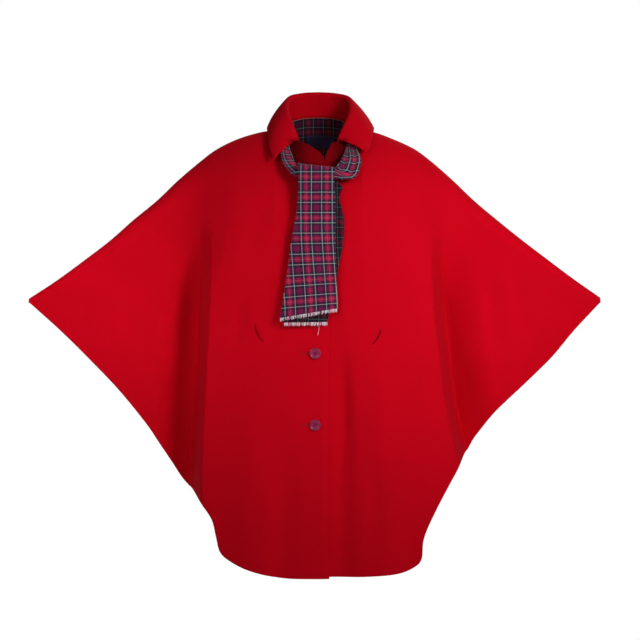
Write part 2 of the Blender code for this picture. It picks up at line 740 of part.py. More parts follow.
def make_collar():
    """The fold-over collar in one piece, double cloth, open in front."""
    middle = collar_grid()
    normals = grid_normals(middle)
    outer = middle - normals * COLLAR / 2
    inner = middle + normals * COLLAR / 2
    faces = grid_faces(*middle.shape[:2])[:, ::-1]
    wall("collar", outer, inner, faces, "coat_wool")


def make_stand_end(side):
    """The front end of the collar stand: a strip on the neck ring whose top edge curves to the closing."""
    sign = -1.0 if side == "right" else 1.0
    angles, heights = columns_of(STAND_ENDS[side])
    angle = np.linspace(angles[0], angles[-1], 8)
    height = through(angle, angles, heights)
    foot = neck_edge(np.radians(np.abs(angle)))
    foot[:, 0] *= sign * np.sign(angle)
    top = foot + height[:, None] * np.array([0.0, STAND_LEAN, 1.0])
    meeting = collar_grid()[0 if side == "right" else -1, [0, 3]] - np.array([sign * STAND_GAP, 0.0, 0.0])
    foot = np.concatenate([foot, meeting[:1]])
    top = np.concatenate([top, meeting[1:]])
    middle = foot[:, None] + (top - foot)[:, None] * np.linspace(0, 1, 4)[None, :, None]
    normals = grid_normals(middle) * sign
    faces = grid_faces(*middle.shape[:2])
    if side == "right":
        faces = faces[:, ::-1]
    half = normals * COLLAR / 2
    wall(side + "_stand_end", middle + half, middle - half, faces, "coat_wool")


def scarf_neck_grid(side, stations, across=5):
    """Middle of the scarf beside the neck: between the collar's stand and fall, then down to the knot."""
    collar = collar_grid()
    half = len(collar) // 2
    inside = slice(half, -SCARF_INSIDE_COLLAR - 1)
    if side == "right":
        inside = slice(half, SCARF_INSIDE_COLLAR, -1)
    upper = collar[inside, 2] + (collar[inside, 8] - collar[inside, 2]) * SCARF_PLACE
    lower = collar[inside, 1] + (collar[inside, 9] - collar[inside, 1]) * SCARF_PLACE
    held = np.concatenate([(upper + lower) / 2, (upper - lower) / 2 * SCARF_SPREAD], axis=1)
    rows = np.concatenate([held[::2], np.array(SCARF_DROP[side])]).T
    knots = np.arange(rows.shape[1])
    at = np.linspace(0, knots[-1], stations)
    middle = np.stack([through(at, knots, column) for column in rows[:3]], axis=-1)
    rise = np.stack([through(at, knots, column) for column in rows[3:]], axis=-1)
    return middle[:, None] + rise[:, None] * np.linspace(-1, 1, across)[None, :, None]


def make_scarf_neck(side):
    """The stretch of the scarf on one side, from the nape under the collar to the knot."""
    middle = scarf_neck_grid(side, 29)
    sign = -1.0 if side == "right" else 1.0
    middle[0, :, 0] += sign * GAP
    half = grid_normals(middle) * SCARF / 2
    wall(side + "_scarf_neck", middle + half, middle - half, grid_faces(*middle.shape[:2]), "plaid_wool")


def tail_grid(table, slant, stations, across=8):
    """Middle of a hanging scarf end: lines between its two edges that slant as its fold and its foot do."""
    rows = columns_of(table)
    knots = np.arange(len(table))
    at = np.linspace(0, len(table) - 1, stations)
    depth, height, left, right = (through(at, knots, column) for column in rows)
    share = np.linspace(0, 1, across)
    x = left[:, None] + (right - left)[:, None] * share
    y = depth[:, None] + np.zeros(across)
    tilt = slant[0] * (1 - ease(at / FOLD_ROWS)) + slant[1] * ease(at / knots[-1])
    z = height[:, None] + tilt[:, None] * (share - 0.5)
    return np.stack([x, y, z], axis=-1)


def make_tail(name, table, slant, stations):
    """One hanging end of the scarf, and the frayed edge at its foot."""
    middle = tail_grid(table, slant, stations)
    half = grid_normals(middle) * SCARF / 2
    wall(name, middle + half, middle - half, grid_faces(*middle.shape[:2]), "plaid_wool")
    make_fringe(name + "_fringe", middle[-1, 0], middle[-1, -1])


def make_fringe(name, left, right):
    """A frayed edge: a narrow backing strip just under the cloth, with a lock below every second step."""
    steps = 2 * FRINGE_LOCKS - 1
    widths = np.where(np.arange(steps) % 2 == 0, LOCK_SHARE, 1 - LOCK_SHARE)
    share = np.concatenate([[0], np.cumsum(widths)]) / widths.sum()
    along = right - left
    top = left + along * share[:, None] - np.array([0.0, 0.0, GAP])
    slope = np.array([0.0, 0.0, -1.0])
    root = top + slope * FRINGE_BACKING
    number = np.arange(steps + 1)
    tips = top + slope * (FRINGE_LENGTH + FRINGE_UNEVENNESS * np.sin(number * 2.4))[:, None]
    strip = np.stack([number[:-1], number[1:], number[1:] + steps + 1, number[:-1] + steps + 1], axis=-1)
    locks = strip[::2] + steps + 1
    faces = np.concatenate([strip, locks])[:, ::-1]
    points = np.concatenate([top, root, tips])
    half = np.array([0.0, FRINGE_THICKNESS / 2, 0.0])
    wall(name, points - half, points + half, faces, "fringe_wool")


def facing_of(across, height):
    """The right front's point at a place, and three directions there: across, up the cloth, and out of it."""
    step = 0.009
    grid = front_grid("right")[0]
    places = height + step * np.array([0.0, 1.0, -1.0])
    depth = on_cloth(grid, np.full(3, across), places)
    up = np.array([0.0, depth[1] - depth[2], 2 * step])
    up /= np.linalg.norm(up)
    side = np.array([1.0, 0.0, 0.0])
    out = np.cross(side, up)
    foremost = min(depth[0], (depth[1] + depth[2]) / 2)
    return np.array([across, foremost, height]), side, up, out


def turned(points, directions, middle):
    """Points given as (across, up, out) set on the cloth at a place."""
    return middle + points @ np.array(directions)


def make_button(number, height):
    """A round button with a raised rim, a dished face and four holes, seated just off the placket."""
    place_on, *directions = facing_of(BUTTON_X, height)
    middle = place_on + directions[2] * BUTTON_SEAT
    thick = BUTTON_THICKNESS
    # Columns: distance from the button's axis, distance out from its back
    profile = (
        (BUTTON_RADIUS - 0.0008, 0.0), (BUTTON_RADIUS, thick * 0.4), (BUTTON_RADIUS - 0.0004, thick * 0.85),
        (BUTTON_RADIUS - BUTTON_RIM / 2, thick), (BUTTON_RADIUS - BUTTON_RIM, thick - BUTTON_DISH * 0.6),
    )
    segments = 16
    around = np.linspace(0, 2 * np.pi, segments, endpoint=False)
    radius, out = np.repeat(columns_of(profile), segments, axis=1)
    turn = np.tile(around, len(profile))
    rings = np.stack([radius * np.cos(turn), radius * np.sin(turn), out], axis=-1)
    centres = np.array([(0.0, 0.0, 0.0), (0.0, 0.0, thick - BUTTON_DISH)])
    points = turned(np.concatenate([rings, centres]), directions, middle)
    first = np.arange(segments)
    following = (first + 1) % segments
    top = (len(profile) - 1) * segments
    back_centre = len(rings)
    faces = np.stack([np.full(segments, back_centre), following, first], axis=-1).tolist()
    faces += np.stack([first + top, following + top, np.full(segments, back_centre + 1)], axis=-1).tolist()
    for ring in range(len(profile) - 1):
        low = ring * segments
        high = low + segments
        faces += np.stack([first + low, following + low, following + high, first + high], axis=-1).tolist()
    mesh = bpy.data.meshes.new(f"button_{number}")
    mesh.from_pydata(points.tolist(), [], faces)
    button = place(f"button_{number}", mesh, "button_plastic")
    for column in (-1, 1):
        for row in (-1, 1):
            centre = np.array([column, row, 0.0]) * HOLE_SPACING / 2
            cut_hole(button, turned_circle(centre, directions, middle))


def turned_circle(centre, directions, middle):
    """The two ends of a six-sided hole through a button."""
    around = (np.arange(6) + 0.35) * np.pi / 3
    circle = np.stack([np.cos(around), np.sin(around), np.zeros(6)], axis=-1) * HOLE_RADIUS + centre
    reach = np.array([0.0, 0.0, 0.002])
    return turned(np.concatenate([circle - reach, circle + reach * 4]), directions, middle)


def cut_hole(button, points):
    """Cuts one thread hole through a button, with a cutter that isn't part of the cape."""
    mesh = bpy.data.meshes.new("hole_cutter")
    sides = [(k, (k + 1) % 6, (k + 1) % 6 + 6, k + 6) for k in range(6)]
    mesh.from_pydata(points.tolist(), [], sides + [tuple(range(5, -1, -1)), tuple(range(6, 12))])
    cutter = bpy.data.objects.new("hole_cutter", mesh)
    bpy.context.scene.collection.objects.link(cutter)
    cutter.hide_render = True
    cutter.display_type = "WIRE"
    cut = button.modifiers.new("hole", "BOOLEAN")
    cut.operation = "DIFFERENCE"
    cut.solver = "EXACT"
    cut.object = cutter


def make_welt(side):
    """The welt of one hand slit: a narrow crescent made from the front's own points, moved out."""
    x_top, z_top, x_foot, z_foot = HAND_SLITS[side]
    sign = -1.0 if side == "right" else 1.0
    share = np.linspace(0, 1, 9)
    bow = 4 * share * (1 - share)
    width = WELT_WIDTH * (0.25 + 0.75 * np.sqrt(bow))
    middle_x = x_top + (x_foot - x_top) * share + sign * WELT_BOW * bow
    across = middle_x[:, None] + width[:, None] * np.linspace(-0.5, 0.5, 4)
    height = (z_top + (z_foot - z_top) * share)[:, None] + np.zeros(4)
    depth = on_cloth(front_grid(side)[0], across, height)
    points = np.stack([across, depth, height], axis=-1)
    normals = grid_normals(points)
    normals *= -np.sign(normals[..., 1:2])
    inner = points + normals * WELT_SEAT
    faces = grid_faces(9, 4)
    wall("hand_slit_" + side, inner + normals * WELT_THICKNESS, inner, faces, "coat_wool")


def clear_scene():
    """Removes whatever the scene holds."""
    for held in list(bpy.data.objects):
        bpy.data.objects.remove(held)


def main():
    clear_scene()
    for side in ("right", "left"):
        make_front(side)
        make_stand_end(side)
        make_scarf_neck(side)
        make_welt(side)
    make_back()
    make_nape()
    make_collar()
    make_tail("scarf_tail_front", TAIL_FRONT, TAIL_FRONT_SLANT, 26)
    make_tail("scarf_tail_rear", TAIL_REAR, TAIL_REAR_SLANT, 18)
    for number, height in enumerate(BUTTON_HEIGHTS, start=1):
        make_button(number, height)


main()
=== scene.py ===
import bpy
import numpy as np
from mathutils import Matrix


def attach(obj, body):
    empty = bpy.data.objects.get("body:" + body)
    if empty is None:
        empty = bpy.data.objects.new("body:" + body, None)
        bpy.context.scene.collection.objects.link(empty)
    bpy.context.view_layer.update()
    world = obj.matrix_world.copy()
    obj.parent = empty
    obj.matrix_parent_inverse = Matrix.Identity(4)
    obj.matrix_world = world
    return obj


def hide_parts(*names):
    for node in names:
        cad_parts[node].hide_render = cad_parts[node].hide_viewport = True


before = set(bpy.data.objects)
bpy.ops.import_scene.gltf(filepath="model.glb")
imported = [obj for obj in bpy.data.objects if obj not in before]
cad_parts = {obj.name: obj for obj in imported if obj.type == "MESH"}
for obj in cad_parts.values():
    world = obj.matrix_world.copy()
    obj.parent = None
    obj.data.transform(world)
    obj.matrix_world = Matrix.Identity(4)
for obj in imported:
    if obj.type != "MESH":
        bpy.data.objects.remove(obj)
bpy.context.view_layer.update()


# The two fronts
# Each is one panel of felted coat wool, 2.5 mm thick, from the placket to the wing tip. It is seamed to the
# back along the overarm line, hangs free at the side, and the wearer's right front laps over the left at the
# placket.
COAT = 0.0025
NECK_HALF_WIDTH = 0.078
THROAT_DEPTH = 0.075
THROAT_DROP = 0.065
NECK_EASE = 14.0
CHEST_DEPTH = 0.128
HEM_FLARE = 0.012
FLARE_START = 0.30
FLARE_DROP = 0.50
BODY_DROP = 0.200
BODY_SIDE = 0.210
SIDE_ROUNDING = 0.15
WING_START = 0.200
WING_TIP = 0.514
WING_SWEEP = 0.070
SWEEP_START = 0.120
ARM_RADIUS = 0.040
TIP_RADIUS = 0.011
VALLEY_DEPTH = 0.004
VALLEY_ROUNDING = 0.75
BLEND_START = 0.14
BLEND_WIDTH = 0.15
VALLEY_TOP = 0.15
VALLEY_GROWTH = 0.19
TURN_LEAD = 0.012
TURN_WIDTH = 0.026
RETURN_LEAD = 0.014
RETURN_WIDTH = 0.070
LAP = 0.020
UNDERLAP_STEP = 0.0038
UNDERLAP_EASE = 0.030
SECTION_CURVE = 1.8
EDGE_ROUNDING = 0.0009
SEAM_GAP = 0.0002

# Overarm seam of each side. Columns: distance from the middle, height
OVERARM = {
    "right": (
        (0.078, 0.000), (0.108, -0.005), (0.151, -0.019), (0.187, -0.038), (0.209, -0.055), (0.251, -0.091),
        (0.288, -0.127), (0.331, -0.163), (0.371, -0.199), (0.417, -0.235), (0.465, -0.271), (0.514, -0.304),
    ),
    "left": (
        (0.078, 0.000), (0.101, -0.004), (0.139, -0.018), (0.176, -0.036), (0.200, -0.054), (0.241, -0.090),
        (0.278, -0.126), (0.320, -0.162), (0.364, -0.198), (0.409, -0.233), (0.456, -0.269), (0.502, -0.302),
    ),
}

# Upright sections of each front, from its edge to the wing tip.
# Columns: distance from the middle at the top, the same at the hem, hem height, grid steps to the next
# section
FRONT_SECTIONS = {
    "right": (
        (-0.020, -0.020, -0.797, 1), (0.000, 0.000, -0.797, 2), (0.030, 0.040, -0.797, 2),
        (0.052, 0.079, -0.793, 2), (0.068, 0.123, -0.782, 3), (0.078, 0.156, -0.766, 1),
        (0.100, 0.173, -0.750, 1), (0.130, 0.180, -0.724, 1), (0.159, 0.188, -0.693, 2),
        (0.185, 0.208, -0.664, 2), (0.197, 0.222, -0.648, 2), (0.207, 0.232, -0.637, 2),
        (0.219, 0.244, -0.622, 2), (0.237, 0.260, -0.596, 1), (0.263, 0.282, -0.562, 1),
        (0.293, 0.308, -0.524, 2), (0.350, 0.355, -0.466, 2), (0.404, 0.405, -0.413, 2),
        (0.457, 0.458, -0.360, 2), (0.514, 0.514, -0.309, 0),
    ),
    "left": (
        (-0.020, -0.020, -0.792, 1), (0.000, 0.000, -0.793, 2), (0.030, 0.043, -0.794, 2),
        (0.052, 0.086, -0.793, 2), (0.068, 0.142, -0.788, 3), (0.078, 0.170, -0.777, 1),
        (0.100, 0.183, -0.762, 1), (0.130, 0.187, -0.727, 1), (0.158, 0.211, -0.673, 2),
        (0.187, 0.249, -0.603, 2), (0.199, 0.260, -0.585, 2), (0.209, 0.269, -0.571, 2),
        (0.222, 0.278, -0.554, 2), (0.242, 0.290, -0.537, 1), (0.269, 0.311, -0.510, 1),
        (0.300, 0.335, -0.486, 2), (0.350, 0.371, -0.452, 2), (0.404, 0.417, -0.406, 2),
        (0.450, 0.455, -0.360, 2), (0.502, 0.502, -0.309, 0),
    ),
}

# Where the cloth over the body turns back towards the arm. Columns: height, distance from the middle
BODY_EDGE = {
    "right": ((-0.620, 0.216), (-0.560, 0.214), (-0.440, 0.208), (-0.300, 0.201), (-0.150, 0.196)),
    "left": (
        (-0.620, 0.262), (-0.560, 0.250), (-0.480, 0.234), (-0.380, 0.221), (-0.300, 0.213), (-0.150, 0.207),
    ),
    "back": ((-0.600, 0.212), (-0.440, 0.207), (-0.300, 0.202), (-0.150, 0.197)),
}

# Soft folds and, below them, the smaller creases. Columns: x and z where it starts, x and z where it ends,
# half-width at each end, depth (a trough is above 0, a ridge below), 1 where it fades out before the hem
FRONT_FOLDS = (
    (0.040, -0.350, 0.041, -0.810, 0.017, 0.024, 0.015, 0),
    (0.112, -0.360, 0.125, -0.810, 0.030, 0.036, -0.009, 0),
    (0.160, -0.480, 0.158, -0.800, 0.020, 0.020, 0.005, 0),
    (-0.055, -0.560, -0.062, -0.820, 0.018, 0.028, 0.006, 0),
    (-0.115, -0.420, -0.120, -0.810, 0.030, 0.032, -0.006, 0),
    (-0.130, -0.300, -0.152, -0.400, 0.010, 0.012, 0.004, 1),
    (-0.272, -0.290, -0.300, -0.430, 0.012, 0.016, 0.006, 1),
    (-0.248, -0.230, -0.262, -0.480, 0.014, 0.020, -0.008, 1),
    (0.300, -0.240, 0.320, -0.430, 0.018, 0.022, 0.005, 1),
    (-0.030, -0.150, -0.045, -0.330, 0.018, 0.020, 0.004, 1),
    (0.046, -0.375, 0.050, -0.620, 0.008, 0.011, 0.0030, 1),
    (0.012, -0.400, 0.012, -0.800, 0.012, 0.014, -0.0025, 0),
    (0.088, -0.140, 0.132, -0.310, 0.012, 0.016, 0.0018, 1),
    (-0.092, -0.130, -0.140, -0.290, 0.012, 0.018, 0.0020, 1),
    (-0.010, -0.408, -0.075, -0.470, 0.007, 0.010, 0.0016, 1),
    (-0.010, -0.533, -0.066, -0.585, 0.007, 0.010, 0.0014, 1),
    (0.150, -0.180, 0.178, -0.330, 0.010, 0.012, -0.0020, 1),
    (-0.160, -0.170, -0.182, -0.300, 0.010, 0.013, -0.0022, 1),
    (0.098, -0.590, 0.104, -0.745, 0.012, 0.014, 0.0040, 1),
    (-0.088, -0.610, -0.096, -0.800, 0.012, 0.016, -0.0026, 0),
    (0.352, -0.235, 0.372, -0.400, 0.014, 0.016, 0.0026, 1),
    (-0.345, -0.225, -0.362, -0.400, 0.015, 0.017, 0.0028, 1),
    (-0.402, -0.255, -0.412, -0.380, 0.013, 0.015, -0.0020, 1),
    (0.255, -0.380, 0.272, -0.520, 0.010, 0.014, 0.0030, 1),
    (0.228, -0.270, 0.254, -0.600, 0.014, 0.020, 0.0120, 1),
)


def ease(share):
    """0 below 0, 1 above 1, and 3 s squared less 2 s cubed between them."""
    share = np.clip(share, 0.0, 1.0)
    return share * share * (3.0 - 2.0 * share)


def through(at, knots, values):
    """A cubic piece between each two knots, with slopes held to three times the flatter chord, so it never
    overshoots.
    """
    knots = np.asarray(knots, float)
    values = np.asarray(values, float)
    chords = np.diff(values) / np.diff(knots)
    slopes = np.concatenate([chords[:1], (chords[:-1] + chords[1:]) / 2, chords[-1:]])
    before = np.concatenate([chords[:1], chords])
    after = np.concatenate([chords, chords[-1:]])
    limit = 3 * np.minimum(np.abs(before), np.abs(after))
    slopes = np.where(before * after <= 0, 0.0, np.sign(slopes) * np.minimum(np.abs(slopes), limit))
    at = np.clip(at, knots[0], knots[-1])
    low = np.clip(np.searchsorted(knots, at) - 1, 0, len(knots) - 2)
    width = knots[low + 1] - knots[low]
    share = (at - knots[low]) / width
    start_slope = share * (1 - share) ** 2 * width * slopes[low]
    end_slope = share * share * (share - 1) * width * slopes[low + 1]
    return values[low] + (values[low + 1] - values[low]) * ease(share) + start_slope + end_slope


def columns_of(table):
    """The columns of a table as arrays."""
    return np.array(table, float).T


def overarm_height(side, reach):
    """Height of the overarm seam at a distance from the middle: a smooth curve through its table."""
    return through(reach, *columns_of(OVERARM[side]))


def seam_depth(reach):
    """Forward sweep of the overarm seam: it grows with the 1.5th power of the share of the wing's reach."""
    return -WING_SWEEP * np.clip((reach - SWEEP_START) / (WING_TIP - SWEEP_START), 0, 1) ** 1.5


def rounded(share, fullness):
    """0 at the shoulder and 1 at full depth: a superellipse, rounder at the shoulder as the fullness rises.
    """
    return (1 - (1 - np.clip(share, 0, 1)) ** 2) ** (1 / fullness)


def fold_depth(folds, across, height):
    """Sum of soft folds: each is a bell curve across a slanting line that widens towards its foot."""
    total = np.zeros_like(across)
    for x_top, z_top, x_foot, z_foot, width_top, width_foot, depth, fades in folds:
        share = (z_top - height) / (z_top - z_foot)
        held = np.clip(share, 0, 1)
        middle = x_top + (x_foot - x_top) * held
        width = width_top + (width_foot - width_top) * held
        strength = ease(share / 0.35) * np.where(fades, ease((1 - share) / 0.35), 1.0)
        total = total + depth * strength * np.exp(-(((across - middle) / width) ** 2))
    return total


def unevenness(across, height):
    """Hand-hung cloth is never quite smooth: three slow waves across one another, under half a millimetre
    together.
    """
    first = np.sin(across * 61 + height * 23)
    second = np.sin(height * 47 - across * 31 + 1.3)
    third = np.sin(across * 103 - height * 71 + 0.7)
    return 0.00022 * first * second + 0.00016 * third


def softened(value, softness):
    """The value where it is above 0 and 0 below, with the corner rounded off as the softness rises."""
    return (value + np.sqrt(value * value + softness * softness)) / 2


def body_and_wing(side, across, height, start_y, start_z, full_depth, facing):
    """Depth of a panel's outer face; facing is -1 on the front and 1 on the back.

    Over the body the cloth leaves the shoulder or neck ring and rounds out to its full depth. Over the arm it
    rounds over the seam and hangs straight. Between them it turns back into an upright valley under the
    armpit.
    """
    reach = np.abs(across)
    drop = np.maximum(start_z - height, 0)
    fullness = 1 + 0.4 * ease(reach / NECK_HALF_WIDTH)
    body = start_y + (facing * full_depth - start_y) * rounded(drop / BODY_DROP, fullness)
    to_tip = np.clip((reach - WING_START) / (WING_TIP - WING_START), 0, 1)
    radius = ARM_RADIUS + (TIP_RADIUS - ARM_RADIUS) * to_tip
    wing = seam_depth(reach) + facing * radius * rounded(drop / radius, 2.0)
    soft = body + (wing - body) * ease((reach - BLEND_START) / BLEND_WIDTH)
    edge = through(height, *columns_of(BODY_EDGE[side]))
    turned_in = ease((reach - edge + TURN_LEAD) / TURN_WIDTH)
    spread = ease((reach - edge - RETURN_LEAD) / RETURN_WIDTH)
    floor = wing - facing * (radius * VALLEY_ROUNDING + VALLEY_DEPTH) * (1 - spread)
    folded = body + (floor - body) * turned_in
    return soft + (folded - soft) * ease((-height - VALLEY_TOP) / VALLEY_GROWTH)


def front_depth(side, across, height):
    """Depth of a front's outer face at a place seen from the front, with its folds, creases and slow waves.
    """
    reach = np.abs(across)
    inside = 1 - (reach / NECK_HALF_WIDTH) ** 2
    top = overarm_height(side, reach) - THROAT_DROP * np.sqrt(np.maximum(inside, 0))
    drop = np.maximum(top - height, 0)
    ring = np.sqrt(softened(inside, NECK_EASE * drop))
    start_y = seam_depth(reach) - THROAT_DEPTH * ring
    start_z = overarm_height(side, reach) - THROAT_DROP * ring
    flare = HEM_FLARE * ease((-height - FLARE_START) / FLARE_DROP)
    full = (CHEST_DEPTH + flare) * (1 - SIDE_ROUNDING * (reach / BODY_SIDE) ** 2)
    depth = body_and_wing(side, across, height, start_y, start_z, full, -1.0)
    depth = depth + fold_depth(FRONT_FOLDS, across, height) + unevenness(across, height) * ease(drop / 0.05)
    if side == "left":
        depth = depth + UNDERLAP_STEP * (1 - ease((across - LAP) / UNDERLAP_EASE))
    return depth


def stepped(sections, finer):
    """A table's sections with its grid steps made finer. Within the neck's width the steps are even in angle.
    """
    rows = columns_of(sections)
    steps = rows[-1][:-1].astype(int) * finer
    at = np.concatenate([k + np.arange(n) / n for k, n in enumerate(steps)] + [[len(steps)]])
    knots = np.arange(len(sections))
    inside = np.clip(rows[0] / NECK_HALF_WIDTH, -1, 1)
    turn = through(at, knots, np.arcsin(inside) + rows[0] / NECK_HALF_WIDTH - inside)
    beyond = np.maximum(turn - np.pi / 2, 0)
    top = NECK_HALF_WIDTH * (np.sin(turn - beyond) + beyond)
    return [top] + [through(at, knots, column) for column in rows[1:-1]]


def unit(vectors):
    """Vectors divided by their own lengths."""
    return vectors / np.maximum(np.linalg.norm(vectors, axis=-1, keepdims=True), 1e-12)


def grid_normals(points):
    """Unit normals of a grid of points: the cross product of its two directions."""
    return unit(np.cross(np.gradient(points, axis=0), np.gradient(points, axis=1)))


def seamed_normals(points, seam):
    """Unit normals of a panel. At its overarm seam they lie in the seam's own upright plane, square to the
    seam.
    """
    normals = grid_normals(points)
    for part in (seam & (points[:, 0, 0] < 0), seam & (points[:, 0, 0] > 0)):
        if part.any():
            along = unit(np.gradient(points[part, 0], axis=0))
            normals[part, 0] = unit(np.array([0.0, 0.0, 1.0]) - along * along[:, 2:])
    return normals


def ruled_grid(columns, rows):
    """Four-sided faces of a grid of points, as corner numbers."""
    number = np.arange(columns * rows).reshape(columns, rows)
    corners = (number[:-1, :-1], number[1:, :-1], number[1:, 1:], number[:-1, 1:])
    return np.stack(corners, axis=-1).reshape(-1, 4)


def put(name, points, faces, finish, slot, nodes=(), laid=None):
    """Makes a mesh object of points and faces, with its finish and the solids that it stands for. Its slot
    is not used.
    """
    mesh = bpy.data.meshes.new(name)
    mesh.from_pydata(points.tolist(), [], [list(face) for face in faces])
    if laid is not None:
        corner = np.zeros(len(mesh.loops), dtype=np.int32)
        mesh.loops.foreach_get("vertex_index", corner)
        mesh.uv_layers.new(name="cloth").data.foreach_set("uv", laid[corner].ravel())
    mesh.shade_smooth()
    mesh.materials.append(finish)
    piece = bpy.data.objects.new(name, mesh)
    bpy.context.scene.collection.objects.link(piece)
    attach(piece, "root")
    if nodes:
        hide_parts(*nodes)
    return piece


def shell(name, outer, inner, finish, slot, nodes, rounding=(1, 1, 1, 1), laid=None):
    """A closed cloth wall between two grids, with half-round edges.

    Between the two copies of the grid's border run three rings: a straight mix of the copies, moved out of
    the cloth's edge by the rounding times the sine of their share. rounding is for the first and last column
    and row.
    """
    columns, rows = outer.shape[:2]
    number = np.arange(columns * rows).reshape(columns, rows)
    border = np.concatenate([number[0, :-1], number[:-1, -1], number[-1, :0:-1], number[:0:-1, 0]])
    middle = (outer + inner) / 2
    away = np.zeros_like(middle)
    away[0] += unit(middle[0] - middle[1]) * rounding[0]
    away[-1] += unit(middle[-1] - middle[-2]) * rounding[1]
    away[:, 0] += unit(middle[:, 0] - middle[:, 1]) * rounding[2]
    away[:, -1] += unit(middle[:, -1] - middle[:, -2]) * rounding[3]
    flat = [grid.reshape(-1, 3) for grid in (outer, inner, away)]
    rings = [
        flat[0][border] * (1 - share) + flat[1][border] * share
        + flat[2][border] * EDGE_ROUNDING * np.sin(np.pi * share)
        for share in (0.2, 0.5, 0.8)
    ]
    points = np.concatenate([flat[0], flat[1]] + rings)
    count = columns * rows
    around = np.arange(len(border))
    levels = [border] + [2 * count + k * len(border) + around for k in range(3)] + [border + count]
    faces = ruled_grid(columns, rows)
    rims = [
        np.stack([a, np.roll(a, -1), np.roll(b, -1), b], axis=-1)
        for a, b in zip(levels[:-1], levels[1:])
    ]
    faces = np.concatenate([faces, faces[:, ::-1] + count] + rims).tolist()
    if laid is not None:
        laid = laid.reshape(-1, 2)
        laid = np.concatenate([laid, laid] + [laid[border]] * 3)
    return put(name, points, faces, finish, slot, nodes, laid)


def add(tree, kind, **inputs):
    """A shader node. A value with the name of one of its settings sets it; others set or join the input of
    that name.
    """
    made = tree.nodes.new(kind)
    for name, value in inputs.items():
        if hasattr(made, name):
            setattr(made, name, value)
            continue
        socket = made.inputs[int(name[1:])] if name[1:].isdigit() else made.inputs[name.replace("_", " ")]
        if isinstance(value, bpy.types.NodeSocket):
            tree.links.new(value, socket)
        else:
            socket.default_value = value
    return made


def new_material(name, **settings):
    """A material, its node tree and its shader. Each setting sets the shader's input of that name, with
    spaces for underscores.
    """
    material = bpy.data.materials.new(name)
    material.use_nodes = True
    shader = material.node_tree.nodes["Principled BSDF"]
    for setting, value in settings.items():
        shader.inputs[setting.replace("_", " ")].default_value = value
    return material, material.node_tree, shader


def map_range(tree, measured, start, end, at_start, at_end):
    """A straight change from one value to another over a range of what is measured, held beyond its ends."""
    made = add(tree, "ShaderNodeMapRange", Value=measured)
    for socket, limit in zip(("From Min", "From Max", "To Min", "To Max"), (start, end, at_start, at_end)):
        made.inputs[socket].default_value = limit
    return made.outputs["Result"]


def felted_wool(name, shade, deep, sheen_tint):
    """Red coat wool: a milled face with a short nap.

    Its colour drifts a little between two reds with slow noise, fibres a millimetre long lift the surface
    under a finer grain, and a soft sheen lightens it at the edges. In the throat, under the collar's fall and
    the scarf, painted shade darkens it, the more the farther it lies from the middle.
    """
    material, tree, shader = new_material(
        name, Roughness=0.92, Specular_IOR_Level=0.05,
        Sheen_Weight=0.10, Sheen_Roughness=0.45, Sheen_Tint=sheen_tint,
    )
    place = add(tree, "ShaderNodeTexCoord").outputs["Object"]
    drift = add(tree, "ShaderNodeTexNoise", Vector=place, Scale=9.0, Detail=3.0)
    fibres = add(tree, "ShaderNodeTexNoise", Vector=place, Scale=850.0, Detail=4.0, Roughness=0.65)
    nap = add(tree, "ShaderNodeTexNoise", Vector=place, Scale=260.0, Detail=3.0, Distortion=1.2)
    tone = add(tree, "ShaderNodeMix", data_type="RGBA", i0=drift.outputs["Fac"], i6=deep, i7=shade)
    lightness = map_range(tree, fibres.outputs["Fac"], 0.30, 0.70, 0.86, 1.08)
    scaled = add(tree, "ShaderNodeVectorMath", operation="SCALE", i0=tone.outputs[2], i3=lightness)
    cloth_tone = scaled.outputs[0]
    parts = add(tree, "ShaderNodeSeparateXYZ", Vector=place)
    level = add(tree, "ShaderNodeVectorMath", operation="MULTIPLY", i0=place)
    level.inputs[1].default_value = (1.0, 1.0, 0.0)
    from_axis = add(tree, "ShaderNodeVectorMath", operation="LENGTH", i0=level.outputs[0]).outputs["Value"]
    aside = add(tree, "ShaderNodeMath", operation="ABSOLUTE", i0=parts.outputs["X"]).outputs[0]
    # Painted shade in the throat: where the first four ranges all hold, the colour is scaled down by the last
    # one
    # Columns: what is measured, where the range starts and ends, value at its start and at its end
    ranges = (
        (from_axis, 0.080, 0.090, 1.0, 0.0), (parts.outputs["Y"], -0.048, -0.030, 1.0, 0.0),
        (parts.outputs["Z"], -0.095, -0.080, 0.0, 1.0), (parts.outputs["Z"], -0.025, -0.016, 1.0, 0.0),
        (aside, 0.012, 0.040, 0.40, 0.17),
    )
    shares = [map_range(tree, *row) for row in ranges]
    painted_shade_mask = shares[0]
    for share in shares[1:-1]:
        painted_shade_mask = add(tree, "ShaderNodeMath", operation="MULTIPLY", i0=painted_shade_mask, i1=share).outputs[0]
    # The painted shade: the cloth's colour scaled down, mixed in where the mask holds
    painted_shade_tone = add(tree, "ShaderNodeVectorMath", operation="SCALE", i0=cloth_tone, i3=shares[-1])
    hung = add(tree, "ShaderNodeMix", data_type="RGBA", i0=painted_shade_mask, i6=cloth_tone, i7=painted_shade_tone.outputs[0])
    tree.links.new(hung.outputs[2], shader.inputs["Base Color"])
    coarse = add(tree, "ShaderNodeBump", Strength=0.30, Distance=0.0005, Height=nap.outputs["Fac"])
    fine = add(tree, "ShaderNodeBump", Strength=0.35, Distance=0.0002, Height=fibres.outputs["Fac"])
    tree.links.new(coarse.outputs[0], fine.inputs["Normal"])
    tree.links.new(fine.outputs[0], shader.inputs["Normal"])
    return material


COAT_RED = (0.66, 0.0004, 0.0105, 1)
COAT_DEEP_RED = (0.58, 0.0003, 0.0085, 1)
COAT_SHEEN = (1.0, 0.04, 0.09, 1)
coat_wool = felted_wool("coat_wool", COAT_RED, COAT_DEEP_RED, COAT_SHEEN)


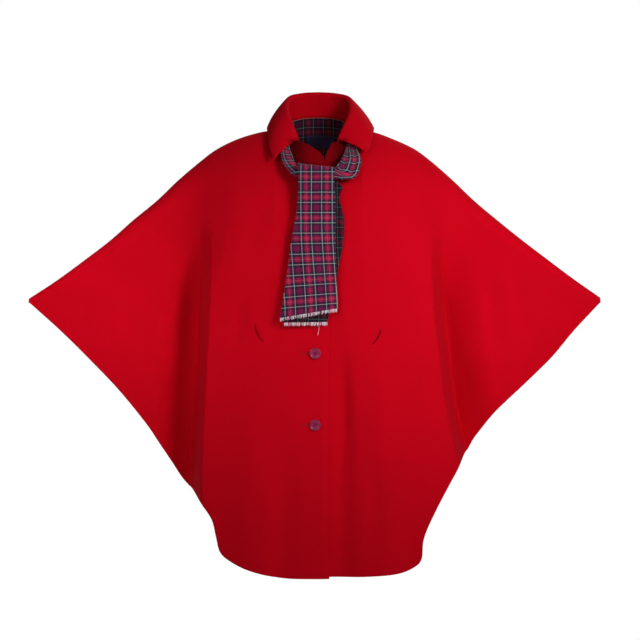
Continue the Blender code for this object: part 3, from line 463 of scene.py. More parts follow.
def hung_sections(side, top, hem, rows, depth_at, gap):
    """Points of upright sections, and which of these start at the seam.

    A point lies at a share of the way from the seam or neck to the hem; the rows gather towards the top, and
    the depth is worked out from its x and z. The edge at the seam is moved by the gap.
    """
    sign = -1.0 if side == "right" else 1.0
    (top_x, top_z), (hem_x, hem_z) = top, hem
    share = np.linspace(0, 1, rows) ** 1.5
    across = sign * (top_x[:, None] + (hem_x - top_x)[:, None] * share**SECTION_CURVE)
    height = top_z[:, None] + (hem_z - top_z)[:, None] * share
    seam = np.abs(top_x) >= NECK_HALF_WIDTH - 1e-6
    depth = depth_at(side, across, height) + np.where(seam[:, None] & (share == 0), gap, 0)
    return np.stack([across, depth, height], axis=-1), seam


def front_panel(side, rows=172, finer=6):
    """Outer face of one front as upright sections, with its normals. Its columns run towards -X."""
    top_x, hem_x, hem_z = stepped(FRONT_SECTIONS[side], finer)
    reach = np.abs(top_x)
    ring = np.sqrt(1 - np.clip(reach / NECK_HALF_WIDTH, 0, 1) ** 2)
    top_z = np.where(reach < NECK_HALF_WIDTH, -THROAT_DROP * ring, overarm_height(side, reach))
    points, seam = hung_sections(side, (top_x, top_z), (hem_x, hem_z), rows, front_depth, -SEAM_GAP)
    if side == "left":
        points, seam = points[::-1], seam[::-1]
    return points, seamed_normals(points, seam)


# Columns: side, the cut's width and length, its area
FRONT_CUTS = (("right", 0.62, 0.83, 0.310), ("left", 0.60, 0.83, 0.304))
for side, cut_width, cut_length, cut_area in FRONT_CUTS:
    points, normals = front_panel(side)
    front = shell(
        side + "_front_cloth", points, points - normals * COAT, coat_wool, "wool", [side + "_front"],
        rounding=(1, 0, 0, 1) if side == "right" else (0, 1, 0, 1),
    )


# The back
# One panel of the same wool from wing tip to wing tip. It is cut short above the seat of the chair, rises to
# the nape, and falls in a few soft folds behind the arms.
NAPE_DEPTH = 0.062
NAPE_RISE = 0.027
BACK_DEPTH = 0.104

# Upright sections from the middle to the wing tip. Columns: reach at the top, reach at the hem, hem height,
# steps
BACK_SECTIONS = (
    (0.000, 0.000, -0.600, 6), (0.078, 0.095, -0.598, 1), (0.105, 0.135, -0.592, 1),
    (0.135, 0.165, -0.582, 1), (0.162, 0.183, -0.573, 1), (0.188, 0.198, -0.564, 2),
    (0.200, 0.210, -0.555, 2), (0.210, 0.220, -0.548, 2), (0.223, 0.232, -0.538, 2),
    (0.241, 0.250, -0.521, 1), (0.267, 0.275, -0.498, 1), (0.300, 0.306, -0.470, 2),
    (0.360, 0.362, -0.422, 2), (0.430, 0.430, -0.368, 2), (0.514, 0.514, -0.309, 0),
)

# Folds and creases, with the columns of the fronts' table
BACK_FOLDS = (
    (0.045, -0.180, 0.060, -0.610, 0.014, 0.028, 0.010, 0),
    (-0.040, -0.210, -0.052, -0.610, 0.014, 0.026, 0.010, 0),
    (0.125, -0.230, 0.138, -0.600, 0.020, 0.030, 0.009, 0),
    (-0.128, -0.200, -0.140, -0.600, 0.020, 0.030, 0.009, 0),
    (0.290, -0.230, 0.300, -0.480, 0.018, 0.024, 0.006, 0),
    (-0.296, -0.240, -0.306, -0.480, 0.018, 0.024, 0.006, 0),
    (0.012, -0.130, 0.020, -0.420, 0.010, 0.014, 0.0022, 1),
    (-0.082, -0.150, -0.098, -0.470, 0.012, 0.016, -0.0026, 1),
    (0.086, -0.170, 0.092, -0.560, 0.012, 0.016, -0.0024, 1),
    (0.165, -0.150, 0.180, -0.360, 0.010, 0.014, 0.0020, 1),
    (-0.160, -0.160, -0.178, -0.340, 0.010, 0.014, 0.0022, 1),
    (-0.350, -0.230, -0.366, -0.400, 0.014, 0.016, 0.0026, 1),
    (0.358, -0.235, 0.374, -0.395, 0.014, 0.016, 0.0024, 1),
    (-0.004, -0.440, 0.004, -0.590, 0.014, 0.018, 0.0024, 0),
)


def back_depth(side, across, height):
    """Depth of the back's outer face at a place seen from behind, with its folds, creases and slow waves."""
    reach = np.abs(across)
    rise = 1 - (reach / NECK_HALF_WIDTH) ** 3
    drop = np.maximum(overarm_height(side, reach) + NAPE_RISE * np.maximum(rise, 0) - height, 0)
    ring = np.sqrt(softened(1 - (reach / NECK_HALF_WIDTH) ** 2, NECK_EASE * drop))
    start_y = seam_depth(reach) + NAPE_DEPTH * ring
    start_z = overarm_height(side, reach) + NAPE_RISE * softened(rise, NECK_EASE * drop)
    full = BACK_DEPTH * (1 - SIDE_ROUNDING * (reach / BODY_SIDE) ** 2)
    depth = body_and_wing("back", across, height, start_y, start_z, full, 1.0)
    return depth - fold_depth(BACK_FOLDS, across, height) - unevenness(across, height) * ease(drop / 0.05)


def back_panel(rows=169, finer=4):
    """Outer face of the back as upright sections from the right wing tip to the left, with its normals."""
    halves = []
    for side in ("right", "left"):
        top_x, hem_x, hem_z = stepped(BACK_SECTIONS, finer)
        stretch = 1 + (OVERARM[side][-1][0] / WING_TIP - 1) * ease(top_x / WING_TIP)
        reach = top_x * stretch
        inside = np.clip(reach / NECK_HALF_WIDTH, 0, 1)
        top_z = np.where(reach < NECK_HALF_WIDTH, NAPE_RISE * (1 - inside**3), overarm_height(side, reach))
        hem = (hem_x * stretch, hem_z)
        halves.append(hung_sections(side, (reach, top_z), hem, rows, back_depth, SEAM_GAP))
    (right, right_seam), (left, left_seam) = halves
    points = np.concatenate([right[::-1], left[1:]])
    return points, seamed_normals(points, np.concatenate([right_seam[::-1], left_seam[1:]]))


back_points, back_normals = back_panel()
back = shell(
    "back_cloth", back_points, back_points - back_normals * COAT, coat_wool, "wool", ["back"],
    rounding=(0, 0, 0, 1),
)


# The plaid lining at the nape
# A yoke of the scarf's own plaid, darkened to about a third as painted shade. It is felled inside the back
# just under the collar and shows only through the neck.
LINING = 0.001
LINING_HALF_WIDTH = 0.074
LINING_GAP = 0.0006
# Shares of the back's length at which the lining starts and ends
LINING_TOP = 0.009
LINING_FOOT = 5 / 14
PLAID_REPEAT = 0.0366


def colour_ramp(tree, share, stops, interpolation="LINEAR"):
    """A colour ramp read at a share. A stop is its place, then a grey, or red, green, blue, maybe alpha."""
    ramp = add(tree, "ShaderNodeValToRGB", Fac=share)
    ramp.color_ramp.interpolation = interpolation
    for k, (place, *colour) in enumerate(stops):
        element = ramp.color_ramp.elements[k] if k < 2 else ramp.color_ramp.elements.new(place)
        element.position = place
        element.color = colour if len(colour) == 4 else (*(colour * 3)[:3], 1)
    return ramp


def plaid(name, gain, roughness, nap):
    """A tartan of common kind, woven of wool and read from the piece's own UV map in metres.

    Along each direction a repeat holds a plain block and a warm one between white lines, with dark bands
    beside them. The two directions' tones are averaged and looked up in one ramp from navy to crimson; white
    and orange lines go over it by their own strength, and slanting ribs a millimetre apart give the twill.
    """
    material, tree, shader = new_material(
        name, Roughness=roughness, Specular_IOR_Level=0.15, Sheen_Weight=0.12, Sheen_Roughness=0.5
    )
    place = add(tree, "ShaderNodeUVMap", uv_map="cloth").outputs["UV"]
    wobble = add(tree, "ShaderNodeTexNoise", Vector=place, Scale=220.0, Detail=2.0)
    shift = add(tree, "ShaderNodeVectorMath", operation="MULTIPLY_ADD", i0=wobble.outputs["Color"])
    shift.inputs[1].default_value = (0.0006, 0.0006, 0.0)
    tree.links.new(place, shift.inputs[2])
    parts = add(tree, "ShaderNodeSeparateXYZ", Vector=shift.outputs[0])
    # Tone bands. Columns: where the band starts in the repeat, tone (navy 0, plain block 0.6, warm block 1)
    bands = ((0.0, 0.0), (0.140, 0.62), (0.360, 0.0), (0.635, 1.0), (0.865, 0.0))
    # Lines. Columns: where the line or gap starts, red, green, blue, strength
    lines = (
        (0.000, 0.52, 0.60, 0.58, 0.62), (0.014, 0.52, 0.60, 0.58, 0.00), (0.486, 0.52, 0.60, 0.58, 0.62),
        (0.514, 0.52, 0.60, 0.58, 0.00), (0.738, 0.70, 0.13, 0.05, 0.34), (0.762, 0.80, 0.16, 0.05, 0.00),
        (0.986, 0.52, 0.60, 0.58, 0.62),
    )
    tones = []
    overlays = []
    for direction in ("X", "Y"):
        repeats = add(tree, "ShaderNodeMath", operation="MULTIPLY", i0=parts.outputs[direction])
        repeats.inputs[1].default_value = 1 / PLAID_REPEAT
        share = add(tree, "ShaderNodeMath", operation="FRACT", i0=repeats.outputs[0]).outputs[0]
        tones.append(colour_ramp(tree, share, bands, "CONSTANT").outputs["Color"])
        overlays.append(colour_ramp(tree, share, lines, "CONSTANT"))
    ribs = add(tree, "ShaderNodeMath", operation="ADD", i0=parts.outputs["X"], i1=parts.outputs["Y"])
    ribs = add(tree, "ShaderNodeMath", operation="MULTIPLY", i0=ribs.outputs[0], i1=2 * np.pi / 0.0014)
    ribs = add(tree, "ShaderNodeMath", operation="SINE", i0=ribs.outputs[0]).outputs[0]
    over = add(tree, "ShaderNodeMath", operation="MULTIPLY_ADD", i0=ribs, i1=0.16, i2=0.5)
    mixed = add(tree, "ShaderNodeMix", data_type="RGBA", i0=over.outputs[0], i6=tones[0], i7=tones[1])
    # Ground colours. Columns: tone, red, green, blue
    grounds = (
        (0.00, 0.010, 0.014, 0.038), (0.31, 0.080, 0.006, 0.046), (0.50, 0.170, 0.007, 0.052),
        (0.62, 0.200, 0.006, 0.070), (0.81, 0.350, 0.008, 0.078), (1.00, 0.480, 0.011, 0.086),
    )
    colour = colour_ramp(tree, mixed.outputs[2], grounds).outputs["Color"]
    for line in overlays:
        layer = add(tree, "ShaderNodeMix", data_type="RGBA", i0=line.outputs["Alpha"], i6=colour)
        tree.links.new(line.outputs["Color"], layer.inputs[7])
        colour = layer.outputs[2]
    fibres = add(tree, "ShaderNodeTexNoise", Vector=place, Scale=1400.0, Detail=3.0)
    # Fibre noise varies the tone; gain scales the whole colour, and a gain below 1 is painted shade
    speck = add(tree, "ShaderNodeMath", operation="MULTIPLY_ADD", i0=fibres.outputs["Fac"])
    speck.inputs[1].default_value = 0.35
    speck.inputs[2].default_value = gain - 0.35 / 2
    tinted = add(tree, "ShaderNodeVectorMath", operation="SCALE", i0=colour, i3=speck.outputs[0])
    tree.links.new(tinted.outputs[0], shader.inputs["Base Color"])
    twill = add(tree, "ShaderNodeBump", Strength=nap, Distance=0.00025, Height=ribs)
    fuzz = add(tree, "ShaderNodeBump", Strength=nap, Distance=0.0003, Height=fibres.outputs["Fac"])
    tree.links.new(twill.outputs[0], fuzz.inputs["Normal"])
    tree.links.new(fuzz.outputs[0], shader.inputs["Normal"])
    return material


def inside_back(across, rows, inward, thickness):
    """Near and far face of a patch inside the back: the back's own points at those places, moved in along its
    normals.
    """
    columns = np.interp(across, back_points[:, 0, 0], np.arange(len(back_points)))
    picked = np.concatenate([back_points, back_normals], axis=-1)
    low = np.minimum(columns.astype(int), len(back_points) - 2)
    share = (columns - low)[:, None, None]
    picked = picked[low] * (1 - share) + picked[low + 1] * share
    at = rows * (back_points.shape[1] - 1)
    low = at.astype(int)
    share = (at - low)[None, :, None]
    picked = picked[:, low] * (1 - share) + picked[:, low + 1] * share
    near = picked[..., :3] - picked[..., 3:] * inward
    return near, near - picked[..., 3:] * thickness


def measured(points):
    """The two distances along a grid from its first column and row, in metres, as a UV map."""
    steps_across = np.linalg.norm(np.diff(points, axis=0), axis=-1)
    steps_down = np.linalg.norm(np.diff(points, axis=1), axis=-1)
    across = np.concatenate([np.zeros((1, points.shape[1])), np.cumsum(steps_across, axis=0)])
    down = np.concatenate([np.zeros((points.shape[0], 1)), np.cumsum(steps_down, axis=1)], axis=1)
    return np.stack([across, down], axis=-1)


lining_near, lining_far = inside_back(
    np.linspace(LINING_HALF_WIDTH, -LINING_HALF_WIDTH, 61), np.linspace(LINING_TOP, LINING_FOOT, 64),
    COAT + LINING_GAP, LINING
)
# Gain 0.34: painted shade over the whole lining
lining_plaid_painted_shade = plaid("lining_plaid_painted_shade", 0.34, 0.62, 0.25)
lining_laid = measured(lining_far)
lining_laid[..., 0] = lining_laid[:, 20:21, 0]
lining = shell(
    "nape_lining_cloth", lining_far, lining_near, lining_plaid_painted_shade, "plaid", ["nape_lining"],
    rounding=(0.4, 0.4, 0.2, 0.4), laid=lining_laid + np.array([0.004, 0.0]),
)


# The label
# A blank woven tape of navy satin, folded under at both ends and sewn to the lining with four short stitches
# a side.
LABEL = 0.0008
LABEL_LEFT = -0.021
LABEL_RIGHT = 0.029
LABEL_ROWS = (1.9 / 14, 2.7 / 14)
NAVY = (0.016, 0.018, 0.060, 1)
PALER_NAVY = (0.030, 0.034, 0.100, 1)


def woven_tape(name):
    """Navy satin tape: fine ribs across its length from a sine of its own UV, and a slight shift of tone."""
    material, tree, shader = new_material(name, Roughness=0.42)
    place = add(tree, "ShaderNodeUVMap", uv_map="cloth").outputs["UV"]
    parts = add(tree, "ShaderNodeSeparateXYZ", Vector=place)
    ribs = add(tree, "ShaderNodeMath", operation="MULTIPLY", i0=parts.outputs["X"], i1=2 * np.pi / 0.0006)
    ribs = add(tree, "ShaderNodeMath", operation="SINE", i0=ribs.outputs[0])
    cloud = add(tree, "ShaderNodeTexNoise", Vector=place, Scale=260.0, Detail=2.0)
    tone = add(tree, "ShaderNodeMix", data_type="RGBA", i0=cloud.outputs["Fac"], i6=NAVY, i7=PALER_NAVY)
    tree.links.new(tone.outputs[2], shader.inputs["Base Color"])
    bump = add(tree, "ShaderNodeBump", Strength=0.35, Distance=0.0001, Height=ribs.outputs[0])
    tree.links.new(bump.outputs[0], shader.inputs["Normal"])
    return material


label_near, label_far = inside_back(
    np.linspace(LABEL_RIGHT, LABEL_LEFT, 41), np.linspace(*LABEL_ROWS, 15),
    COAT + LINING + 2 * LINING_GAP, LABEL
)
label = shell(
    "label_tape", label_far, label_near, woven_tape("navy_tape"), "label", ["label"],
    rounding=(0.5, 0.5, 0.3, 0.3), laid=measured(label_far),
)


def tubes(paths, radius, sides=6):
    """Closed round tubes along many paths at once: a ring of points at each step, square to the path, and two
    caps.

    paths is (tubes, steps, 3) and radius one number for each step of each tube. The rings' two axes are the
    cross products of the path's direction with a fixed one, and with the result.
    """
    count, steps = paths.shape[:2]
    along = unit(np.gradient(paths, axis=1))
    fixed = np.where(np.abs(along[..., 1:2]) < 0.9, np.array([0.0, 1.0, 0.0]), np.array([1.0, 0.0, 0.0]))
    first = unit(np.cross(along, fixed))
    second = np.cross(along, first)
    turn = np.linspace(0, 2 * np.pi, sides, endpoint=False)[:, None]
    ring = np.cos(turn) * first[:, :, None] + np.sin(turn) * second[:, :, None]
    points = paths[:, :, None] + ring * np.broadcast_to(radius, (count, steps))[..., None, None]
    number = np.arange(count * steps * sides).reshape(count, steps, sides)
    low, high = number[:, :-1], number[:, 1:]
    quads = np.stack([low, np.roll(low, -1, axis=2), np.roll(high, -1, axis=2), high], axis=-1).reshape(-1, 4)
    caps = number[:, 0, ::-1].tolist() + number[:, -1].tolist()
    return points.reshape(-1, 3), quads.tolist() + caps


def sewing_thread(name, colour, gloss=0.55):
    """Twisted sewing thread: one colour with fine noise in tone and bump."""
    material, tree, shader = new_material(name, Roughness=gloss)
    place = add(tree, "ShaderNodeTexCoord").outputs["Object"]
    twist = add(tree, "ShaderNodeTexNoise", Vector=place, Scale=2600.0, Detail=2.0)
    deep = (*[0.6 * part for part in colour], 1)
    pale = (*[min(1.25 * part, 1) for part in colour], 1)
    tone = add(tree, "ShaderNodeMix", data_type="RGBA", i0=twist.outputs["Fac"], i6=deep, i7=pale)
    tree.links.new(tone.outputs[2], shader.inputs["Base Color"])
    bump = add(tree, "ShaderNodeBump", Strength=0.5, Distance=0.0001, Height=twist.outputs["Fac"])
    tree.links.new(bump.outputs[0], shader.inputs["Normal"])
    return material


LABEL_THREAD = 0.00022
stitch_rows = np.linspace(1, 13, 9)[:-1].astype(int)
stitch_start = np.stack([label_far[column, stitch_rows] for column in (2, 38)]).reshape(-1, 3)
stitch_end = np.stack([label_far[column, stitch_rows + 1] for column in (2, 38)]).reshape(-1, 3)
rise = back_normals[len(back_normals) // 2, 20] * -0.0003
share = np.linspace(0, 1, 5)[None, :, None]
stitch_paths = stitch_start[:, None] * (1 - share) + stitch_end[:, None] * share
stitch_paths = stitch_paths + rise * np.sin(np.pi * share)
navy_thread = sewing_thread("navy_thread", (0.05, 0.05, 0.14))
put("label_stitches", *tubes(stitch_paths, LABEL_THREAD), navy_thread, "label")


# The collar
# A turned-down collar of the coat wool, cut double and 3 mm thick. Its stand rises from the neck seam, rolls
# over high at the nape, and its fall lies out on the shoulders with a point at each side of the throat.
COLLAR = 0.003
COLLAR_LIFT = 0.0005
ROLL_RADIUS = 0.0045
FALL_BULGE = 0.007

# From the front of the roll to the nape. Columns: angle round the neck from the throat, middle of the roll
# (x, y, z), outer edge (x, y, z)
COLLAR_STATIONS = (
    (31, 0.037, -0.060, -0.026, 0.079, -0.090, -0.056),
    (50, 0.047, -0.044, 0.001, 0.090, -0.066, -0.037),
    (75, 0.055, -0.017, 0.027, 0.096, -0.035, -0.013),
    (100, 0.056, 0.010, 0.045, 0.099, 0.006, 0.003),
    (125, 0.050, 0.034, 0.058, 0.090, 0.046, 0.003),
    (150, 0.029, 0.050, 0.064, 0.057, 0.078, 0.001),
    (180, 0.000, 0.054, 0.066, 0.000, 0.086, 0.000),
)
# How each half differs: at its side, the roll and the outer edge move out; at its front, the point moves (x,
# y, z)
COLLAR_HALVES = {
    "right": (0.000, -0.008, (0.000, 0.000, 0.000)),
    "left": (0.004, 0.001, (0.005, 0.004, 0.012)),
}


def faces_about(middle, normals, thickness):
    """The two faces of a wall, half its thickness to each side of its middle."""
    return middle + normals * thickness / 2, middle - normals * thickness / 2


def neck_ring(angle):
    """A point of the neck opening: half an ellipse that dips forward, half that rises behind, lifted to the
    collar.
    """
    across = NECK_HALF_WIDTH * np.sin(angle)
    forward = np.cos(angle)
    depth = np.where(forward > 0, -THROAT_DEPTH, -NAPE_DEPTH) * forward
    height = np.where(forward > 0, -THROAT_DROP * forward, NAPE_RISE * (1 - np.abs(np.sin(angle)) ** 3))
    return np.stack([across, depth, height + COLLAR_LIFT * (1 + np.sin(angle) ** 2)], axis=-1)


def collar_middle(stations, rises, turns, falls, eased=0.0):
    """Middle of the collar's wall: up the stand, over a round roll and down the bulged fall, at stations
    round the neck.

    rises are shares of the stand, turns the angles over the roll, and falls shares from the roll to the outer
    edge. eased moves the roll's last angle to the one at which the fall leaves it: the arctangent of its run
    over its drop.
    """
    table = columns_of(COLLAR_STATIONS)
    half = np.radians(through(np.linspace(0, 6, (stations + 1) // 2), np.arange(7), table[0]))
    roll = np.stack([through(half, np.radians(table[0]), column) for column in table[1:4]], axis=-1)
    edge = np.stack([through(half, np.radians(table[0]), column) for column in table[4:7]], axis=-1)
    foot = neck_ring(half)
    beside = (np.sin(half) ** 2)[:, None] * np.array([1.0, 0.0, 0.0])
    ahead = 1 - ease((half - half[0]) / np.radians(30))
    halves = []
    for roll_out, edge_out, point in COLLAR_HALVES.values():
        outer_edge = edge + beside * edge_out + ahead[:, None] * np.array(point)
        halves.append((foot, roll + beside * roll_out, outer_edge))
    mirror = np.array([-1.0, 1.0, 1.0])
    foot, roll, edge = (np.concatenate([right * mirror, left[-2::-1]]) for right, left in zip(*halves))
    out = unit((edge - foot) * np.array([1.0, 1.0, 0.0]))
    up = np.array([0.0, 0.0, 1.0])
    run = np.linalg.norm((edge - roll)[:, :2], axis=1) + 2 * FALL_BULGE
    leaving = np.arctan2(run, roll[:, 2] - edge[:, 2] - 1.2 * FALL_BULGE)
    last = np.radians(turns[-1])
    last_turn = last + (leaving - last) * eased
    over = (np.pi - np.radians(turns)) / (np.pi - last)
    turn = (np.pi - over[None, :] * (np.pi - last_turn)[:, None])[..., None]
    arc = roll[:, None] + ROLL_RADIUS * (np.cos(turn) * out[:, None] + np.sin(turn) * up)
    stand = foot[:, None] + (arc[:, :1] - foot[:, None]) * np.array(rises)[None, :, None]
    share = np.array(falls)[None, :, None]
    bulge = FALL_BULGE * 2 * share * (1 - share)
    fall = arc[:, -1:] + (edge[:, None] - arc[:, -1:]) * share + out[:, None] * bulge + up * bulge * 0.6
    return np.concatenate([stand, arc, fall], axis=1)


rises, turns, falls = np.linspace(0, 1, 15)[:-1], np.linspace(180, 20, 21), np.linspace(0, 1, 25)[1:]
middle = collar_middle(161, rises, turns, falls, 1.0)[::-1]
normals = grid_normals(middle)
collar = shell(
    "collar_cloth", *faces_about(middle, normals, COLLAR), coat_wool, "wool", ["collar"],
    rounding=(1, 1, 0, 1.3),
)


# The front ends of the collar stand
# Two short ends of the same double wool carry the stand round to the throat, where their curved top edges
# meet in a V and fasten out of sight.
STAND_LEAN = 0.30
STAND_GAP = 0.0008
# Columns: angle round the neck, height of the top edge above the neck seam
STAND_ENDS = {
    "right": (
        (-8.0, 0.007), (-6.0, 0.014), (-1.0, 0.022), (5.0, 0.027),
        (11.0, 0.032), (16.0, 0.034), (21.0, 0.035),
    ),
    "left": (
        (9.0, 0.008), (10.5, 0.015), (13.0, 0.022), (16.0, 0.029),
        (17.0, 0.033), (19.0, 0.034), (21.5, 0.035),
    ),
}


def stand_end(side):
    """Middle of one end of the stand: level steps from the neck seam to a top edge that rises to the collar's
    own.
    """
    sign = -1.0 if side == "right" else 1.0
    collar_ends = collar_middle(35, (0.0, 0.33, 0.67), (180, 140, 100, 60, 20), (1.0,))
    collar_end = collar_ends[0 if side == "right" else -1]
    angles, heights = columns_of(STAND_ENDS[side])
    knots = np.append(angles, COLLAR_STATIONS[0][0] - 0.4)
    ring = neck_ring(np.radians(angles)) * np.array([sign, 1.0, 1.0])
    tops = ring + heights[:, None] * np.array([0.0, STAND_LEAN, 1.0])
    tops = np.vstack([tops, collar_end[3] - [sign * STAND_GAP, 0, 0]])
    angle = np.linspace(knots[0], knots[-1], 49)
    foot = neck_ring(np.radians(angle)) * np.array([sign, 1.0, 1.0])
    top = np.stack([through(angle, knots, column) for column in tops.T], axis=-1)
    return foot[:, None] + (top - foot)[:, None] * np.linspace(0, 1, 15)[None, :, None]


for side in ("right", "left"):
    middle = stand_end(side)
    if side == "left":
        middle = middle[::-1]
    normals = grid_normals(middle)
    normals *= np.sign(-normals[24, 7, 1])
    if grid_normals(middle)[24, 7, 1] > 0:
        middle, normals = middle[::-1], normals[::-1]
    end = shell(
        side + "_stand_end_cloth", *faces_about(middle, normals, COLLAR), coat_wool, "wool",
        [side + "_stand_end"], rounding=(1, 1, 1, 0),
    )


# The hand slits
# Each front has a short slanting slit to put a hand through, finished with two narrow curved lips of the coat
# wool that meet over it. Columns: side, x and z of the upper end, x and z of the lower end
HAND_SLITS = (("right", -0.1105, -0.350, -0.0965, -0.380), ("left", 0.1105, -0.357, 0.0965, -0.385))
LIP_WIDTH = 0.0052
LIP_HEIGHT = 0.0015
SLIT_BOW = 0.003


def slit_lips(side, x_top, z_top, x_foot, z_foot):
    """Outer and inner face of the two lips: the front's own points moved out by two half-ellipses side by
    side.

    The band bows away from the middle with 4 s (1 - s) of its length, and tapers with the root of the same.
    """
    sign = -1.0 if side == "right" else 1.0
    share = np.linspace(0, 1, 49)
    bow = 4 * share * (1 - share)
    width = LIP_WIDTH * (0.18 + 0.82 * np.sqrt(bow))
    place = np.linspace(-1, 1, 21)
    across = (x_top + (x_foot - x_top) * share + sign * SLIT_BOW * bow)[:, None] + width[:, None] * place / 2
    height = (z_top + (z_foot - z_top) * share)[:, None] + np.zeros(len(place))
    points = np.stack([across, front_depth(side, across, height), height], axis=-1)[::-1]
    normals = grid_normals(points)
    normals *= -np.sign(normals[..., 1:2])
    lips = np.sqrt(np.maximum(1 - ((np.abs(place) - 0.5) / 0.5) ** 2, 0))
    lips = lips[None, :, None] * (0.35 + 0.65 * np.sqrt(bow))[::-1, None, None]
    return points + normals * (0.0004 + LIP_HEIGHT * lips), points + normals * 0.0002


def slit_wool(name):
    """The coat wool, with painted shade along the seam between the lips: darker the nearer a point
    lies to the middle of its UV map.
    """
    material = coat_wool.copy()
    material.name = name
    tree = material.node_tree
    shader = tree.nodes["Principled BSDF"]
    place = add(tree, "ShaderNodeUVMap", uv_map="cloth").outputs["UV"]
    parts = add(tree, "ShaderNodeSeparateXYZ", Vector=place)
    near = add(tree, "ShaderNodeMath", operation="ABSOLUTE", i0=parts.outputs["X"])
    beyond_painted_shade = map_range(tree, near.outputs[0], 0.10, 0.70, 0.0, 1.0)
    dark = add(tree, "ShaderNodeMix", data_type="RGBA", i0=beyond_painted_shade)
    # Painted shade: the colour of the opening between the lips
    dark.inputs[6].default_value = (0.11, 0.0005, 0.0030, 1)
    tree.links.new(shader.inputs["Base Color"].links[0].from_socket, dark.inputs[7])
    tree.links.new(dark.outputs[2], shader.inputs["Base Color"])
    return material


lip_wool = slit_wool("slit_wool")
for side, *ends in HAND_SLITS:
    outer, inner = slit_lips(side, *ends)
    place = np.broadcast_to(np.linspace(-1, 1, 21), outer.shape[:2])
    laid = np.stack([place, np.linspace(0, 1, 49)[:, None] + np.zeros(21)], axis=-1)
    if grid_normals(outer)[24, 10, 1] > 0:
        outer, inner, laid = outer[::-1], inner[::-1], laid[::-1]
    slit = shell(
        "hand_slit_" + side + "_lips", outer, inner, lip_wool, "wool", ["hand_slit_" + side],
        rounding=(0, 0, 0, 0), laid=laid,
    )


# The buttons
# Four round buttons of glossy dark crimson plastic, 20 mm across, with a raised rim, a dished face and four
# holes. Each is sewn to the left front and comes through a worked hole in the right one; the two upper ones
# are under the scarf.
BUTTON_X = -0.005
BUTTON_HEIGHTS = (-0.401, -0.527, -0.275, -0.149)
BUTTON_SEAT = 0.0007
HOLE_RADIUS = 0.0010
HOLE_SPACING = 0.0023
# Sewing through the holes: three threads side by side over the plastic between two holes
SEWING_STEPS = 9
THREAD_SPACING = 0.00035
THREAD_LEVEL = 0.0023
THREAD_RISE = 0.0009
THREAD_SINK = 0.0012
# The worked hole: a slot 23 mm long that starts just past the button's shank, and the stitches round it
SLOT_STITCHES = 74
SLOT_MIDDLE = -0.0105
SLOT_HALF_LENGTH = 0.0110
SLOT_HALF_WIDTH = 0.0004
STITCH_LENGTH = 0.0021
BUTTON_SEGMENTS = 56
CRIMSON = (0.20, 0.002, 0.040, 1)
PALER_CRIMSON = (0.38, 0.004, 0.085, 1)

# From the back's middle round the rim to the dished face. Columns: distance from the axis, height
BUTTON_PROFILE = (
    (0.0000, 0.00000), (0.0070, 0.00005), (0.0090, 0.00030), (0.0098, 0.00100), (0.0100, 0.00180),
    (0.0099, 0.00265), (0.0096, 0.00320), (0.0091, 0.00352), (0.0086, 0.00356), (0.0080, 0.00330),
    (0.0074, 0.00285), (0.0066, 0.00258), (0.0050, 0.00250), (0.0025, 0.00249), (0.0000, 0.00249),
)


def button_plastic(name):
    """Cast plastic: deep crimson with slow darker clouds, a hard gloss and a faint unevenness of the surface.
    """
    material, tree, shader = new_material(name, Roughness=0.34, Coat_Weight=0.2, Coat_Roughness=0.08)
    place = add(tree, "ShaderNodeTexCoord").outputs["Object"]
    cloud = add(tree, "ShaderNodeTexNoise", Vector=place, Scale=190.0, Detail=3.0, Distortion=1.5)
    tone = add(tree, "ShaderNodeMix", data_type="RGBA", i0=cloud.outputs["Fac"], i6=CRIMSON, i7=PALER_CRIMSON)
    tree.links.new(tone.outputs[2], shader.inputs["Base Color"])
    bump = add(tree, "ShaderNodeBump", Strength=0.06, Distance=0.0004, Height=cloud.outputs["Fac"])
    tree.links.new(bump.outputs[0], shader.inputs["Normal"])
    return material


def button_turned():
    """Points and faces of one button: its profile turned round its axis, with four round holes cut through.
    """
    radius, height = columns_of(BUTTON_PROFILE)
    at = np.linspace(0, len(radius) - 1, 57)
    radius = through(at, np.arange(len(radius)), radius)[1:-1]
    height = through(at, np.arange(len(height)), height)[1:-1]
    around = np.linspace(0, 2 * np.pi, BUTTON_SEGMENTS, endpoint=False)
    rings = np.stack(
        [radius[:, None] * np.cos(around), radius[:, None] * np.sin(around), height[:, None] + 0 * around],
        axis=-1,
    )
    number = np.arange(rings.shape[0] * BUTTON_SEGMENTS).reshape(rings.shape[:2])
    low, high = number[:-1], number[1:]
    quads = np.stack([low, np.roll(low, -1, axis=1), np.roll(high, -1, axis=1), high], axis=-1).reshape(-1, 4)
    mesh = bpy.data.meshes.new("button_blank")
    caps = [number[0, ::-1].tolist(), number[-1].tolist()]
    mesh.from_pydata(rings.reshape(-1, 3).tolist(), [], quads.tolist() + caps)
    blank = bpy.data.objects.new("button_blank", mesh)
    bpy.context.scene.collection.objects.link(blank)
    places = HOLE_SPACING / 2 * np.array([(-1, -1), (-1, 1), (1, -1), (1, 1)])
    paths = np.stack([np.column_stack([places, np.full(4, z)]) for z in (-0.001, 0.005)], axis=1)
    points, faces = tubes(paths, HOLE_RADIUS, 20)
    holes_mesh = bpy.data.meshes.new("button_holes")
    holes_mesh.from_pydata(points.tolist(), [], faces)
    holes = bpy.data.objects.new("button_holes", holes_mesh)
    bpy.context.scene.collection.objects.link(holes)
    cut = blank.modifiers.new("holes", "BOOLEAN")
    cut.operation = "DIFFERENCE"
    cut.solver = "EXACT"
    cut.object = holes
    turned_mesh = bpy.data.meshes.new_from_object(blank.evaluated_get(bpy.context.evaluated_depsgraph_get()))
    points = np.zeros(len(turned_mesh.vertices) * 3)
    turned_mesh.vertices.foreach_get("co", points)
    faces = [list(face.vertices) for face in turned_mesh.polygons]
    for used in (blank, holes):
        bpy.data.objects.remove(used)
    return points.reshape(-1, 3), faces


